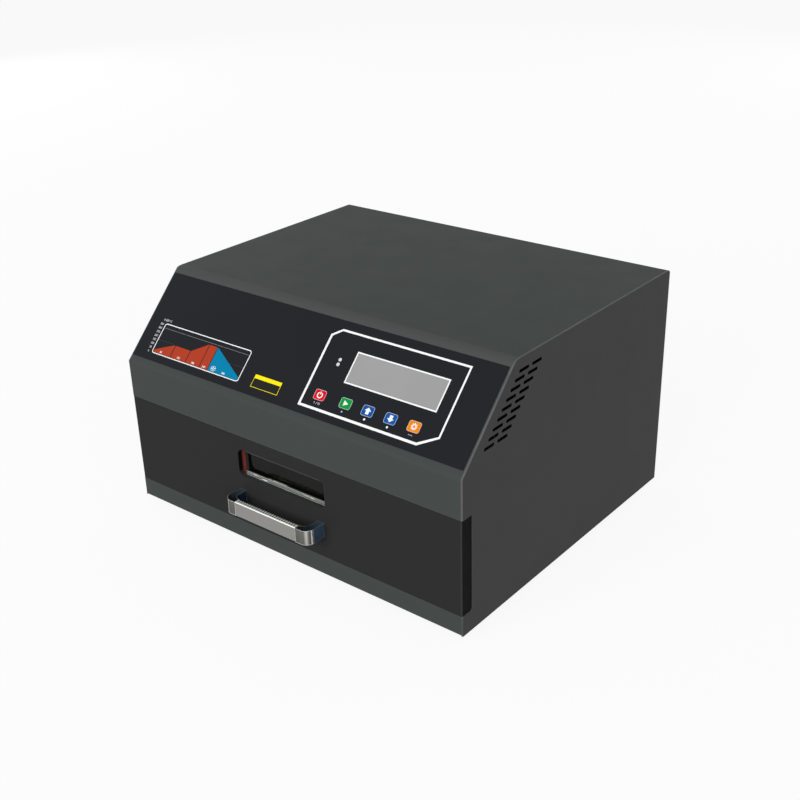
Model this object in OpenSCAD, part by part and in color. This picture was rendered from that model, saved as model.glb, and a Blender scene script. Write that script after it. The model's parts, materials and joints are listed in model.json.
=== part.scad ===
// Bench-top infrared reflow oven with a pull-out drawer.
// Body frame: X across the front, Y from the front face to the back, Z up from the underside
// of the casing. body_frame() moves it so that the origin is under the middle of the whole
// oven, on the surface that its rubber feet stand on.

/* [Casing] */
// Width of the casing
body_w = 370; // [360:1:420]
// Depth of the casing, front face to back edge
body_d = 310; // [306:1:360]
// Height of the casing without its feet
body_h = 208; // [200:1:240]
// Thickness of the casing's sheet steel
sheet = 1.2; // [0.8:0.1:1.6]
// Height of the bend where the front band turns into the sloping panel
slope_foot = 138; // [136:1:146]
// Depth that the sloping panel covers
slope_run = 68; // [60:1:80]
// Outer radius of the bend from the slope to the top
top_bend = 15; // [8:1:15]
// Outer radius of the bend from the front band to the slope
front_bend = 5; // [2:0.5:8]
// Outer radius of the bend from the top to the back flange
rear_bend = 6; // [2:0.5:10]
// Outer radius of the folds along the side cheeks
fold_radius = 1.5; // [0.5:0.1:2.5]
// Depth of the flange that the back edges turn in by
rear_flange = 13; // [12:1:16]
// Width of the flange under each side cheek
bottom_flange = 7; // [6:0.5:8]
// Depth of the stiffening return under the front band
band_return = 8; // [5:0.5:12]
// Height of the lip below the drawer
lip_height = 18.2; // [17:0.1:20]
// Depth of the fold on top of the lip
lip_fold = 8; // [4:0.5:10]
// Height of the base pan's rear lip
pan_rear_lip = 12; // [10:1:14]

/* [Side vents] */
// Length of one vent slot
slot_length = 13; // [8:0.5:15]
// Width of one vent slot
slot_width = 2.4; // [1:0.1:3]
// Number of slots in a column
slot_rows = 9; // [4:1:10]
// Distance from the slope's upper bend to the highest slot
slot_top = 15.6; // [12:0.1:24]
// Distance between the two columns
slot_column_pitch = 17.4; // [16:0.1:20]
// Depth at which the lowest slot starts
slot_start_y = 27; // [20:0.5:32]
// Height of the lowest slot
slot_start_z = 150.5; // [146:0.5:154]

/* [Drawer front] */
// Height of the drawer front
front_h = 84; // [80:0.5:88]
// Depth of the drawer front
front_t = 12.5; // [12:0.1:14]
// Gap between the drawer front and the casing
front_gap = 0.5; // [0.3:0.1:1]
// Outer radius of the drawer front's side folds
front_fold = 1.2; // [0.5:0.1:2]
// Radius of the drawer front's rear corners, seen from the side
flange_corner = 2.5; // [0.5:0.1:4]
// Width of the hem on the drawer front's rear edges
hem_width = 4; // [3:0.5:4.5]
// How far the window sits right of the middle
front_shift = -1.5; // [-6:0.1:6]
// Width of the window
window_w = 98.7; // [80:0.1:120]
// Height of the window
window_h = 26.2; // [20:0.1:26.5]
// Height of the window's lower edge
window_foot = 64.6; // [64:0.1:65.5]
// Corner radius of the window
window_radius = 6; // [3:0.1:9]
// Depth of the collar round the window
collar_depth = 4.3; // [3.6:0.1:4.6]
// Width of the seal that shows beside the window
seal_width = 4.4; // [3:0.1:7]
// Height of the bright strips above and below the window
trim_height = 4.2; // [2:0.1:6]
// Thickness of the bright strips
trim_t = 1.4; // [1:0.1:1.6]
// Thickness of the seal behind the strips
seal_t = 1.8; // [1:0.1:2]
// Thickness of the window glass
glass_t = 4; // [3:0.1:4.2]
// How far the glass reaches past the window on each side
glass_margin = 5; // [4:0.5:6]
// Thickness of the drawer's steel liner
liner_t = 1; // [0.8:0.1:1.2]
// Thickness of the drawer seal
door_seal_t = 3.4; // [2:0.1:5]
// Width of the drawer seal's sides
door_seal_width = 7.5; // [5:0.5:9]

/* [Handle] */
// How far the handle sits right of the middle
handle_shift = -3.2; // [-6:0.1:6]
// Overall width of the handle
handle_w = 97; // [85:0.5:110]
// Height of the handle's end brackets
handle_h = 13.3; // [12:0.1:16]
// How far the handle reaches out from the drawer front
handle_reach = 20.2; // [19:0.1:26]
// Height of the handle's underside
handle_foot = 38.2; // [32:0.1:41]
// Length of the grip between the brackets
grip_w = 69.6; // [55:0.1:75]
// Height of the grip
grip_h = 13.6; // [10:0.1:14]
// How far the grip's middle lies above the brackets' middle
grip_rise = 0.3; // [0:0.1:0.5]
// Thickness of the grip
grip_t = 5; // [4:0.1:6]
// Length of the grip's end in each bracket
tenon = 3; // [2:0.1:4]
// Width of each bracket's leg
leg_w = 7; // [6:0.1:9]
// Outer corner radius of the brackets
bracket_radius = 8; // [4:0.1:9]
// Inner corner radius of the brackets
bracket_inner = 6; // [2:0.1:6.2]
// Distance between the grip's grooves
groove_pitch = 2.67; // [1.6:0.01:3.2]
// Depth of the grip's grooves
groove_depth = 0.3; // [0.1:0.05:0.5]

/* [Control panel] */
// Distance from the casing's sides to the printed overlay
overlay_side = 2.4; // [2:0.1:10]
// Distance from the slope's lower bend to the overlay
overlay_foot = 6.7; // [4:0.1:8]
// Height of the overlay, along the slope
overlay_h = 84; // [78:0.5:84]
// Thickness of the overlay
overlay_t = 0.5; // [0.3:0.05:0.8]
// Width of the display window
display_w = 91.3; // [80:0.1:93]
// Height of the display window
display_h = 27.3; // [20:0.1:29]
// Distance from the casing's right side to the display's middle
display_side = 89.9; // [88:0.1:92]
// Height of the display's middle, along the slope
display_v = 55; // [54:0.1:57]
// Width of a key
key_w = 11.5; // [9:0.1:13]
// Height of a key
key_h = 9; // [7:0.1:10]
// Corner radius of a key
key_radius = 2; // [0.5:0.1:3]
// How far a key stands out of the overlay
key_proud = 0.35; // [0.2:0.05:0.8]
// How far a key travels
key_travel = 0.4; // [0.2:0.05:0.5]
// Height of the row of keys, along the slope
key_v = 25.7; // [24:0.1:27]
// Distance from the display's middle to the power key
power_key_reach = 61.8; // [60:0.1:64]
// Distance from the display's middle to the second key
first_key_reach = 34.8; // [34:0.1:36]
// Distance between the other keys
key_pitch = 22.67; // [20:0.01:23]
// Distance from the display's middle to the indicator lights
led_reach = 59.1; // [57:0.1:61]
// Height of the lower indicator light, along the slope
led_v = 54; // [50:0.1:57]
// Distance between the two indicator lights
led_pitch = 4.2; // [4:0.1:6]
// Radius of an indicator light
led_radius = 1.5; // [1:0.1:1.6]

/* [Chamber] */
// Distance from the casing's sides to the inside of the heating chamber
chamber_side = 27; // [26:0.5:30]
// Depth behind the chamber for insulation, duct and fan
rear_bay = 49; // [48.5:0.5:51]
// Height of the chamber floor's upper face
chamber_floor = 26; // [25:0.5:27]
// Height of the chamber roof's upper face
chamber_roof = 120; // [119:0.5:121]
// Thickness of the chamber's sheet steel
liner_sheet = 1; // [0.8:0.1:1.2]
// Height of the chamber's mouth
mouth_top = 94; // [90:0.5:95]
// Thickness of the heat insulation
wool_t = 14; // [12:0.5:14]
// Number of quartz lamps
lamp_count = 4; // [3:1:5]
// Distance from the chamber's ends to the lamps' own lengths of roof
lamp_margin = 10; // [8:1:16]
// Outer radius of a lamp's tube
lamp_radius = 5; // [4:0.1:6]
// Wall of a lamp's tube
lamp_wall = 1; // [0.8:0.1:1.5]
// Height of the lamps' middle
lamp_z = 107; // [106:0.5:108]

/* [Drawer and slides] */
// Length of each slide that stays in when the drawer is pulled right out
slide_overlap = 22; // [22:1:80]
// Distance from the drawer frame to the chamber's back
drawer_back_gap = 16.5; // [14:0.5:24]
// Height of the drawer frame's sides
drawer_h = 38; // [36:0.5:42]
// Height of the tray's rim
tray_rim = 12; // [8:0.5:16]
// Thickness of the tray's sheet
tray_t = 1; // [0.8:0.1:1.2]
// Distance from the slides to the chamber's back
slide_back_gap = 9; // [6:0.5:20]
// Height of a slide's outer rail
slide_h = 35; // [35:0.5:38]
// Thickness of a closed slide
slide_t = 11.8; // [11:0.1:12.2]
// Thickness of the rails' steel
rail_t = 1.2; // [1:0.1:1.4]
// Running gap between the rails
rail_gap = 0.25; // [0.2:0.05:0.4]

/* [Back] */
// Width of the fan's frame
fan_size = 80; // [76:1:84]
// Depth of the fan's frame
fan_depth = 25; // [24:0.5:26]
// Distance from the casing's left side to the fan's middle
fan_side = 90; // [84:1:104]
// Height of the fan's middle
fan_z = 72; // [66:1:76]
// Distance between the fan's screws
fan_screw_pitch = 71.5; // [68:0.1:72.5]
// How far the wire guard stands out of the rear panel
guard_depth = 6; // [6:0.1:8]
// Distance from the casing's right side to the mains inlet and the switch
inlet_side = 75; // [60:1:90]
// Height of the mains inlet's middle
inlet_z = 48; // [42:1:56]
// Height of the switch's middle
switch_z = 88; // [80:1:100]
// Angle that the rocker tips through
rocker_swing = 18; // [12:1:20]

/* [Feet] */
// Height of the rubber feet
foot_height = 6; // [4:0.5:10]
// Radius of a rubber foot
foot_radius = 11; // [8:0.5:14]
// Distance of the feet from the casing's sides
foot_inset = 35; // [30:1:45]

/* [Hidden] */

$fn = 48;
// Overshoot of a cutter past the face that it cuts
cut = 1;
// Gap between pieces of one body that slip into each other
fit_gap = 0.2;
// Clearance of a screw or a pin in its hole
hole_gap = 0.1;
// Running clearance round a rotating pin
pin_gap = 0.05;

// Fasteners: machine screws of two sizes
m3_radius = 1.5;
m3_head_radius = 2.8;
m3_head = 2;
m4_radius = 2;
m4_head_radius = 3.6;
m4_head = 2.6;
screw_length = 7;

// Places along the whole oven
panel_back = body_d - sheet;
panel_front = panel_back - sheet;
rear_reach = guard_depth - sheet;
front_y = (handle_reach - body_d - rear_reach) / 2;
half_w = body_w / 2;
inner_half = half_w - sheet;
inlet_x = half_w - inlet_side;
fan_x = fan_side - half_w;
display_x = half_w - display_side;
overlay_w = body_w - 2 * overlay_side;

// Slope: its angle and its length
slope_rise = body_h - slope_foot;
slope_angle = atan2(slope_rise, slope_run);
slope_length = norm([slope_run, slope_rise]);
slot_pitch = (slope_length - slot_top - (slot_start_z - slope_foot) / sin(slope_angle))
  / (slot_rows - 1);
casing_outline = [[0, 0], [body_d, 0], [body_d, body_h], [slope_run, body_h], [0, slope_foot]];
casing_radii = [0, 0, rear_bend, top_bend, front_bend];

// Drawer front
front_z = lip_height + front_gap;
front_top = front_z + front_h;
band_bottom = front_top + front_gap;
front_half = half_w - front_gap;
window_mid = [front_shift, window_foot + window_h / 2];
trim_back = collar_depth + trim_t;
seal_back = trim_back + seal_t;
liner_front = seal_back + glass_t;
liner_back = liner_front + liner_t;
tenon_t = grip_t - 2;
tenon_h = grip_h - 4;
grip_z = handle_h / 2 + grip_rise;

// Chamber
bulkhead_front = liner_back + door_seal_t + hole_gap;
bulkhead_back = bulkhead_front + liner_sheet;
chamber_half = half_w - chamber_side;
chamber_w = 2 * chamber_half;
chamber_back = body_d - rear_bay;
chamber_d = chamber_back - bulkhead_back;
shell_back = chamber_back + liner_sheet;
shell_half = chamber_half + liner_sheet;
wool_half = shell_half + wool_t;
wool_back = shell_back + wool_t;
wool_top = chamber_roof + wool_t;
roof_under = chamber_roof - liner_sheet;
bulkhead_top = chamber_roof + 5;
chamber_foot = 9;
lamp_mid_y = bulkhead_back + chamber_d / 2;
lamp_pitch = (chamber_d - 2 * lamp_margin) / lamp_count;
lamp_ys = [for (i = [0:lamp_count - 1]) lamp_mid_y + (i - (lamp_count - 1) / 2) * lamp_pitch];
cap_length = 12;
cap_size = 13;
bracket_x = chamber_half - 9;
cap_front = bracket_x - cap_length;
probe_x = half_w - 145;
probe_z = 80;
probe_radius = 1.5;
probe_length = 110;

// Drawer frame, tray and slides
slide_face = chamber_half - slide_t;
slide_z = chamber_floor + 5;
frame_t = 1.2;
frame_z = slide_z - 2;
ledge_width = 18;
ledge_z = frame_z + 6;
tray_z = ledge_z + frame_t;
tray_half = slide_face - frame_t - 2;
drawer_back = chamber_back - drawer_back_gap;
tray_start = liner_back + 5;
tray_end = drawer_back - 5;
slide_start = bulkhead_back + 3;
slide_length = chamber_back - slide_back_gap - slide_start;
drawer_travel = slide_length - slide_overlap;
rail_step = rail_t + rail_gap;
rail_mid_z = slide_z + slide_h / 2;
middle_w = slide_t - rail_step - 0.6;

// Fan: its front face stands on the duct, its back face on the rear panel
fan_front = panel_front - fan_depth;
fan_bore = fan_size / 2 - 2;
hub_radius = 16;
fan_plate = 3;

// Mains side: appliance inlet and rocker switch
inlet_flange = [50, 28, 2.6];
inlet_body = [27.2, 20, 16];
inlet_socket = [24.4, 16.8, 15];
inlet_screw_reach = 20;
pin_length = 24;
pin_ways = [[-7, 0], [0, -4], [7, 0]];
switch_size = [14, 19, 18];
switch_pivot = -1.5;
rocker_half = 5;
rocker_reach = 7.5;

// Shelf for the electronics, on top of the insulation
shelf_z = wool_top;
shelf_top = shelf_z + sheet;
shelf_leg = wool_half + 1.5;
shelf_front = 78;
shelf_back = wool_back + 8;
spacer = 8.8;
board_t = 1.6;
power_board_z = shelf_top + spacer;
power_board_w = 130;
power_board_d = 98;
power_board_side = 35;
power_board_rear = 94;
power_board_x = [half_w - power_board_side - power_board_w, half_w - power_board_side];
power_board_y = [body_d - power_board_rear - power_board_d, body_d - power_board_rear];
transformer_side = 95;
transformer_rear = 130;
transformer_mid = [transformer_side - half_w, body_d - transformer_rear];
core_w = 57;
core_h = 47.5;
core_t = 22;
core_leg = 9.5;

// Control board: distances are depths below the slope's outer face
board_depth = sheet + spacer;
board_x = [display_x - 73, display_x + 65];
board_v = [12, 84];
key_xs = concat([display_x - power_key_reach],
  [for (i = [0:3]) display_x - first_key_reach + i * key_pitch]);
key_flange = 1.5;
key_flange_t = 0.8;
key_stem = 1.3;
switch_top = sheet + key_flange_t + key_stem + key_travel + 0.1;
led_x = display_x - led_reach;
led_vs = [led_v, led_v + led_pitch];

// ---- helpers

function unit(v) = v / norm(v);
function bisector(a, b, c) = unit(unit(a - b) + unit(c - b));
function half_angle(a, b, c) = acos(unit(a - b) * unit(c - b)) / 2;

// A convex outline whose edges are moved inwards by one distance
function inset_outline(points, distance) = let (n = len(points))
  [for (i = [0:n - 1]) let (a = points[(i + n - 1) % n], b = points[i], c = points[(i + 1) % n])
    b + bisector(a, b, c) * distance / sin(half_angle(a, b, c))];

// A convex outline with a radius at each corner
module rounded_outline(points, radii) {
  n = len(points);
  polygon([for (i = [0:n - 1])
    let (a = points[(i + n - 1) % n], b = points[i], c = points[(i + 1) % n])
    let (reach = radii[i] / tan(half_angle(a, b, c)))
    each (radii[i] > 0 ? [b + unit(a - b) * reach, b + unit(c - b) * reach] : [b])]);
  for (i = [0:n - 1])
    if (radii[i] > 0) {
      a = points[(i + n - 1) % n];
      b = points[i];
      c = points[(i + 1) % n];
      translate(b + bisector(a, b, c) * radii[i] / sin(half_angle(a, b, c)))
        circle(r = radii[i]);
    }
}

// A rectangle with round corners, about its middle
module rounded_rect(w, h, r) {
  square([w - 2 * r, h], center = true);
  square([w, h - 2 * r], center = true);
  for (x = [-1, 1], y = [-1, 1])
    translate([x * (w / 2 - r), y * (h / 2 - r)])
      circle(r = r);
}

// A slot with round ends, starting at the origin and running along X
module slot_outline(length, width) {
  translate([width / 2, -width / 2])
    square([length - width, width]);
  for (x = [width / 2, length - width / 2])
    translate([x, 0])
      circle(r = width / 2, $fn = 16);
}

// A strip of one thickness along a path
module strip_outline(path, thick) {
  last = len(path) - 1;
  sides = [for (i = [0:last])
    let (run = unit(path[min(i + 1, last)] - path[max(i - 1, 0)]))
    [-run[1], run[0]] * thick / 2];
  polygon(concat([for (i = [0:last]) path[i] + sides[i]],
    [for (i = [last:-1:0]) path[i] - sides[i]]));
}

// A box between two corners
module block(low, high) {
  translate(low)
    cube(high - low);
}

// Two boxes, one the mirror image of the other across the middle
module block_pair(low, high) {
  block(low, high);
  mirror([1, 0, 0])
    block(low, high);
}

// The casing's frame, moved to its place over the feet
module body_frame() {
  translate([0, front_y, foot_height])
    children();
}

// Outline in Y and Z, extruded across the oven about its middle
module across(width) {
  rotate([90, 0, 90])
    translate([0, 0, -width / 2])
      linear_extrude(width)
        children();
}

// Outline in X and Z, extruded backwards from y0 to y1
module backwards(y0, y1) {
  translate([0, y1, 0])
    rotate([90, 0, 0])
      linear_extrude(y1 - y0)
        children();
}

// The slope's frame: X across, Y up the slope, Z out of its face
module on_slope() {
  translate([0, 0, slope_foot])
    rotate([slope_angle, 0, 0])
      children();
}

// A plate on the slope between two depths, below the outer face
module slope_layer(bottom, top) {
  on_slope()
    translate([0, 0, bottom])
      linear_extrude(top - bottom)
        children();
}

// A pan-head screw with a cross recess: the head stands on Z = 0, the shank goes down
module pan_screw(radius, head_radius, head, length) {
  recess = head_radius * 0.6;
  difference() {
    union() {
      cylinder(r = head_radius, h = head, $fn = 32);
      translate([0, 0, -length])
        cylinder(r = radius, h = length + head / 2, $fn = 24);
    }
    for (a = [0, 90])
      rotate(a)
        translate([-recess, -head_radius * 0.14, head * 0.4])
          cube([2 * recess, head_radius * 0.28, head]);
  }
}

module m3_screw() {
  pan_screw(m3_radius, m3_head_radius, m3_head, screw_length);
}

module m4_screw(length) {
  pan_screw(m4_radius, m4_head_radius, m4_head, length);
}

// A hole for a screw of this radius, along Z through the origin
module screw_hole(radius) {
  translate([0, 0, -4 * sheet])
    cylinder(r = radius + hole_gap, h = 8 * sheet, $fn = 24);
}

// Points its children's +Z to the back of the oven
module facing_back() {
  rotate([-90, 0, 0])
    children();
}

// ---- places of the fasteners

// Screws from behind, through the cover's flanges into the rear panel
flange_screws = concat(
  [for (x = [-0.32, 0, 0.32]) [x * body_w, body_d, body_h - rear_flange / 2 - 0.5]],
  [for (s = [-1, 1], z = [0.15, 0.48, 0.81])
    [s * (half_w - rear_flange / 2 - 0.5), body_d, z * body_h]]);
// Screws from behind, through the rear panel into the base pan
lip_screws = [for (x = [-0.42, 0.08, 0.42]) [x * body_w, panel_back, pan_rear_lip / 2 + 1]];
// Screws from behind, through the mains inlet's flange into the rear panel
inlet_screws = [for (s = [-1, 1]) [inlet_x + s * inlet_screw_reach, panel_back + inlet_flange[2], inlet_z]];
// Screws from below, through the base pan into the cover's flanges
pan_screws = [for (s = [-1, 1], y = [0.13, 0.5, 0.87])
  [s * (inner_half - bottom_flange / 2), y * body_d, 0]];
foot_places = [for (s = [-1, 1], y = [foot_inset, body_d - foot_inset])
  [s * (half_w - foot_inset), y, 0]];
fan_holes = [for (x = [-1, 1], z = [-1, 1])
  [fan_x + x * fan_screw_pitch / 2, 0, fan_z + z * fan_screw_pitch / 2]];
handle_holes = [for (s = [-1, 1])
  [handle_shift + s * (handle_w - leg_w) / 2, 0, handle_foot + handle_h / 2]];
control_posts = [for (x = [board_x[0] + 4, board_x[1] - 4], v = [board_v[0] + 4, board_v[1] - 4])
  [x, v]];
power_posts = [for (x = [power_board_x[0] + 5, power_board_x[1] - 5],
  y = [power_board_y[0] + 5, power_board_y[1] - 5]) [x, y]];

// ---- casing

// The casing as a solid block, with its side folds rounded
module casing_block() {
  intersection() {
    across(body_w)
      rounded_outline(casing_outline, casing_radii);
    // Folds along the top
    backwards(-cut, body_d + cut)
      rounded_outline([[-half_w, -cut], [half_w, -cut], [half_w, body_h],
        [-half_w, body_h]], [0, 0, fold_radius, fold_radius]);
    // Folds along the slope
    on_slope()
      rotate([90, 0, 0])
        translate([0, 0, -2 * body_d])
          linear_extrude(4 * body_d)
            rounded_outline([[-half_w, -2 * body_d], [half_w, -2 * body_d],
              [half_w, 0], [-half_w, 0]], [0, 0, fold_radius, fold_radius]);
    // Upright folds
    translate([0, 0, -cut])
      linear_extrude(body_h + 2 * cut)
        rounded_outline([[-half_w, 0], [half_w, 0], [half_w, body_d], [-half_w, body_d]],
          [fold_radius, fold_radius, fold_radius, fold_radius]);
  }
}

// Vent slots through both cheeks, in columns that follow the slope
module cheek_slots() {
  row_step = slot_pitch * [cos(slope_angle), sin(slope_angle)];
  for (row = [0:slot_rows - 1], column = [0, 1])
    across(body_w + 2 * cut)
      translate([slot_start_y + row_step[0] * row + slot_column_pitch * column,
        slot_start_z + row_step[1] * row])
        slot_outline(slot_length, slot_width);
}

// Openings for the display, the keys and the lights, each wider by a gap all round
module panel_holes(gap) {
  translate([display_x, display_v])
    square([display_w + 2 * gap, display_h + 2 * gap], center = true);
  for (x = key_xs)
    translate([x, key_v])
      rounded_rect(key_w + 2 * gap, key_h + 2 * gap, key_radius);
  for (v = led_vs)
    translate([led_x, v])
      circle(r = led_radius + gap, $fn = 24);
}

// The bent cover: top, slope, front band and both cheeks, with flanges behind and below
module outer_cover() {
  inside = inset_outline(casing_outline, sheet);
  inside_radii = [for (r = casing_radii) max(r - sheet, 0)];
  color("#484b49") body_frame() {
    difference() {
      casing_block();
      // The space inside, above the bottom flanges
      intersection() {
        across(2 * inner_half)
          rounded_outline(inside, inside_radii);
        block([-half_w, -cut, 2 * sheet], [half_w, body_d + cut, body_h + cut]);
      }
      // The base pan's place and the open underside
      block([-inner_half, -cut, -cut], [inner_half, panel_back, sheet]);
      block([-inner_half + bottom_flange, -cut, -cut],
        [inner_half - bottom_flange, panel_back, 3 * sheet]);
      // The drawer's mouth, and the notches for its side flanges
      block([-inner_half, -cut, -cut], [inner_half, sheet + cut, band_bottom]);
      across(body_w + 2 * cut)
        rounded_outline([[-cut, lip_height], [front_t, lip_height],
          [front_t, band_bottom], [-cut, band_bottom]], [0, flange_corner, 0.5, 0]);
      // The open back
      block([-inner_half + rear_flange, body_d - 2 * sheet, -cut],
        [inner_half - rear_flange, body_d + cut, body_h - rear_flange]);
      cheek_slots();
      slope_layer(-3 * sheet, cut)
        panel_holes(fit_gap + 0.1);
      for (p = flange_screws)
        translate(p) facing_back() screw_hole(m3_radius);
      for (p = pan_screws)
        translate(p) screw_hole(m3_radius);
    }
    // Return that stiffens the front band
    block([-inner_half, 0, band_bottom], [inner_half, band_return, band_bottom + sheet]);
  }
}

// A pattern of vent slots in X and Y, about its middle
module slot_field(columns, rows, length, pitch_x, pitch_y) {
  for (i = [0:columns - 1], j = [0:rows - 1])
    translate([(i - (columns - 1) / 2) * pitch_x - length / 2, (j - (rows - 1) / 2) * pitch_y])
      slot_outline(length, slot_width);
}

// The floor of the casing, with the lip that shows below the drawer
module base_pan() {
  edges = [[0, 0], [panel_front, 0], [panel_front, lip_height], [0, lip_height]];
  bend = 2;
  lip_half = inner_half - bottom_flange - 2 * fit_gap;
  color("#484b49") body_frame() {
    difference() {
      across(2 * inner_half - fit_gap)
        difference() {
          rounded_outline(edges, [bend, bend, 0, 0]);
          translate([sheet, sheet])
            square([panel_front, lip_height - 2 * sheet]);
          translate([lip_fold, sheet])
            square([panel_front, lip_height]);
        }
      for (p = pan_screws)
        translate(p) screw_hole(m3_radius);
      for (p = foot_places)
        translate(p) screw_hole(m4_radius);
      // Air inlets between the feet
      for (s = [-1, 1])
        translate([s * body_w / 4, body_d / 2, -cut])
          linear_extrude(3 * sheet)
            slot_field(4, 5, 22, 30, 12);
    }
    // Rear lip, between the cover's flanges
    difference() {
      block([-lip_half, panel_front - sheet, sheet / 2],
        [lip_half, panel_front, pan_rear_lip]);
      for (p = lip_screws)
        translate(p) facing_back() screw_hole(m3_radius);
    }
  }
}

// The flat back, held behind the cover's flanges
module rear_panel() {
  width = 2 * (inner_half - fit_gap);
  foot = 2 * sheet + fit_gap;
  color("#3c3f3e") body_frame()
    difference() {
      backwards(panel_front, panel_back)
        difference() {
          translate([-width / 2, foot])
            square([width, body_h - rear_bend - foot]);
          translate([fan_x, fan_z])
            circle(r = fan_bore);
          translate([inlet_x, inlet_z])
            rounded_rect(inlet_body[0] + 2 * fit_gap, inlet_body[1] + 2 * fit_gap, 2);
          translate([inlet_x, switch_z])
            square([switch_size[0] + 2 * fit_gap, switch_size[1] + 2 * fit_gap],
              center = true);
          // Vents for the electronics
          translate([0, body_h - 38])
            slot_field(12, 4, 18, 24, 8);
        }
      for (p = concat(flange_screws, lip_screws, inlet_screws))
        translate([p[0], panel_back, p[2]]) facing_back() screw_hole(m3_radius);
      for (p = fan_holes)
        translate([p[0], panel_back, p[2]]) facing_back() screw_hole(m4_radius);
    }
}

module case_screws() {
  color("#3a3a3c") body_frame() {
    for (p = concat(flange_screws, lip_screws, inlet_screws))
      translate(p) facing_back() m3_screw();
    for (p = pan_screws)
      translate(p) rotate([180, 0, 0]) m3_screw();
  }
}

// Four tapered feet, each with a pocket for its screw
module rubber_feet() {
  color("#1c1c1c") body_frame()
    for (p = foot_places)
      translate(p) rotate([180, 0, 0])
        rotate_extrude()
          difference() {
            polygon([[0, 0], [foot_radius, 0], [foot_radius - 1.5, foot_height],
              [0, foot_height]]);
            translate([0, -cut])
              square([m4_radius + hole_gap, foot_height + 2 * cut]);
            translate([0, foot_height / 3])
              square([m4_head_radius + 1, foot_height]);
          }
}

module foot_screws() {
  color("#b9bbbd") body_frame()
    for (p = foot_places)
      translate([p[0], p[1], -foot_height / 3]) rotate([180, 0, 0])
        m4_screw(foot_height / 3 + 3 * sheet);
}

// ---- chamber

// Folded box of the chamber: walls down to the base pan, floor, roof and the front bulkhead
module chamber_shell() {
  hole_pitch = 9;
  hole_radius = 3;
  outlets = fan_bore - 2 * hole_radius;
  // Rows of a triangular pattern, every second one shifted by half a pitch
  spots = [for (i = [-3:3], j = [-3:3]) hole_pitch * [i + 0.5 * (j % 2), j * sin(60)]];
  color("#b4b6b4") body_frame() {
    difference() {
      block([-shell_half, bulkhead_front, sheet], [shell_half, shell_back, chamber_roof]);
      block([-chamber_half, bulkhead_front - cut, chamber_floor],
        [chamber_half, chamber_back, roof_under]);
      block([-chamber_half, bulkhead_back, -cut],
        [chamber_half, shell_back + cut, chamber_floor - liner_sheet]);
      block([-chamber_half, bulkhead_front - cut, -cut],
        [chamber_half, bulkhead_front + 2 * cut, lip_height + 1]);
      // Air outlets in front of the exhaust duct
      for (p = spots)
        if (norm(p) < outlets)
          translate([fan_x + p[0], 0, fan_z + p[1]])
            backwards(chamber_back - cut, shell_back + cut)
              circle(r = hole_radius, $fn = 24);
      translate([probe_x, 0, probe_z])
        backwards(chamber_back - cut, shell_back + cut)
          circle(r = probe_radius + hole_gap, $fn = 24);
    }
    // Bulkhead that closes the casing round the mouth
    backwards(bulkhead_front, bulkhead_back)
      difference() {
        translate([-inner_half + 0.5, lip_height + 1])
          square([2 * inner_half - 1, bulkhead_top - lip_height - 1]);
        translate([-chamber_half, chamber_floor])
          square([chamber_w, mouth_top - chamber_floor]);
      }
    block_pair([shell_half, bulkhead_back, sheet],
      [shell_half + chamber_foot, shell_back, 2 * sheet]);
  }
}

// Blanket over the chamber's roof, sides and back
module chamber_insulation() {
  color("#d8d4c8") body_frame()
    difference() {
      block([-wool_half, bulkhead_back, chamber_floor - liner_sheet],
        [wool_half, wool_back, wool_top]);
      block([-shell_half, bulkhead_back - cut, -cut],
        [shell_half, shell_back, chamber_roof]);
      block([-wool_half - cut, bulkhead_back - cut, chamber_roof],
        [wool_half + cut, bulkhead_back + 4, wool_top + cut]);
      translate([fan_x, 0, fan_z])
        backwards(shell_back - cut, wool_back + cut)
          circle(r = fan_bore + liner_sheet + fit_gap);
      translate([probe_x, 0, probe_z])
        backwards(shell_back - cut, wool_back + cut)
          circle(r = probe_radius + hole_gap, $fn = 24);
    }
}

// One bright sheet with a round trough over each lamp
module lamp_reflector() {
  trough = roof_under - lamp_z;
  first = lamp_ys[0] - lamp_pitch / 2 + 4;
  last = lamp_ys[lamp_count - 1] + lamp_pitch / 2 - 4;
  color("#d9dbdc") body_frame()
    across(chamber_w - 30)
      difference() {
        union() {
          translate([first, lamp_z])
            square([last - first, liner_sheet]);
          for (y = [first, last - liner_sheet])
            translate([y, lamp_z])
              square([liner_sheet, trough]);
          for (y = lamp_ys)
            intersection() {
              translate([y, lamp_z]) circle(r = trough);
              translate([y - trough, lamp_z]) square([2 * trough, trough]);
            }
        }
        for (y = lamp_ys)
          translate([y, lamp_z]) circle(r = trough - liner_sheet);
      }
}

// Places its children at both ends of every lamp, with +Z outwards
module at_lamp_ends(x) {
  for (y = lamp_ys, s = [-1, 1])
    translate([s * x, y, lamp_z]) rotate([0, s * 90, 0])
      children();
}

module lamp_tubes() {
  tube = 2 * (cap_front + cap_length - 2);
  color("#e4ecec", 0.5) body_frame()
    for (y = lamp_ys)
      translate([-tube / 2, y, lamp_z]) rotate([0, 90, 0])
        difference() {
          cylinder(r = lamp_radius, h = tube);
          translate([0, 0, -cut])
            cylinder(r = lamp_radius - lamp_wall, h = tube + 2 * cut);
        }
}

module lamp_filaments() {
  wire = 2 * (cap_front + cap_length - 2);
  color("#c98a4a") body_frame()
    for (y = lamp_ys)
      translate([-wire / 2, y, lamp_z]) rotate([0, 90, 0])
        cylinder(r = 1.4, h = wire, $fn = 24);
}

// Ceramic caps: a square block that grips the tube, and a round neck through the bracket
module lamp_end_caps() {
  color("#efece2") body_frame()
    at_lamp_ends(cap_front)
      difference() {
        union() {
          linear_extrude(cap_length)
            rounded_rect(cap_size, cap_size, 1.5);
          cylinder(r = lamp_radius, h = cap_length + 4);
        }
        translate([0, 0, -cut])
          cylinder(r = lamp_radius + hole_gap, h = cap_length - 2 + cut);
      }
}

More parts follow.
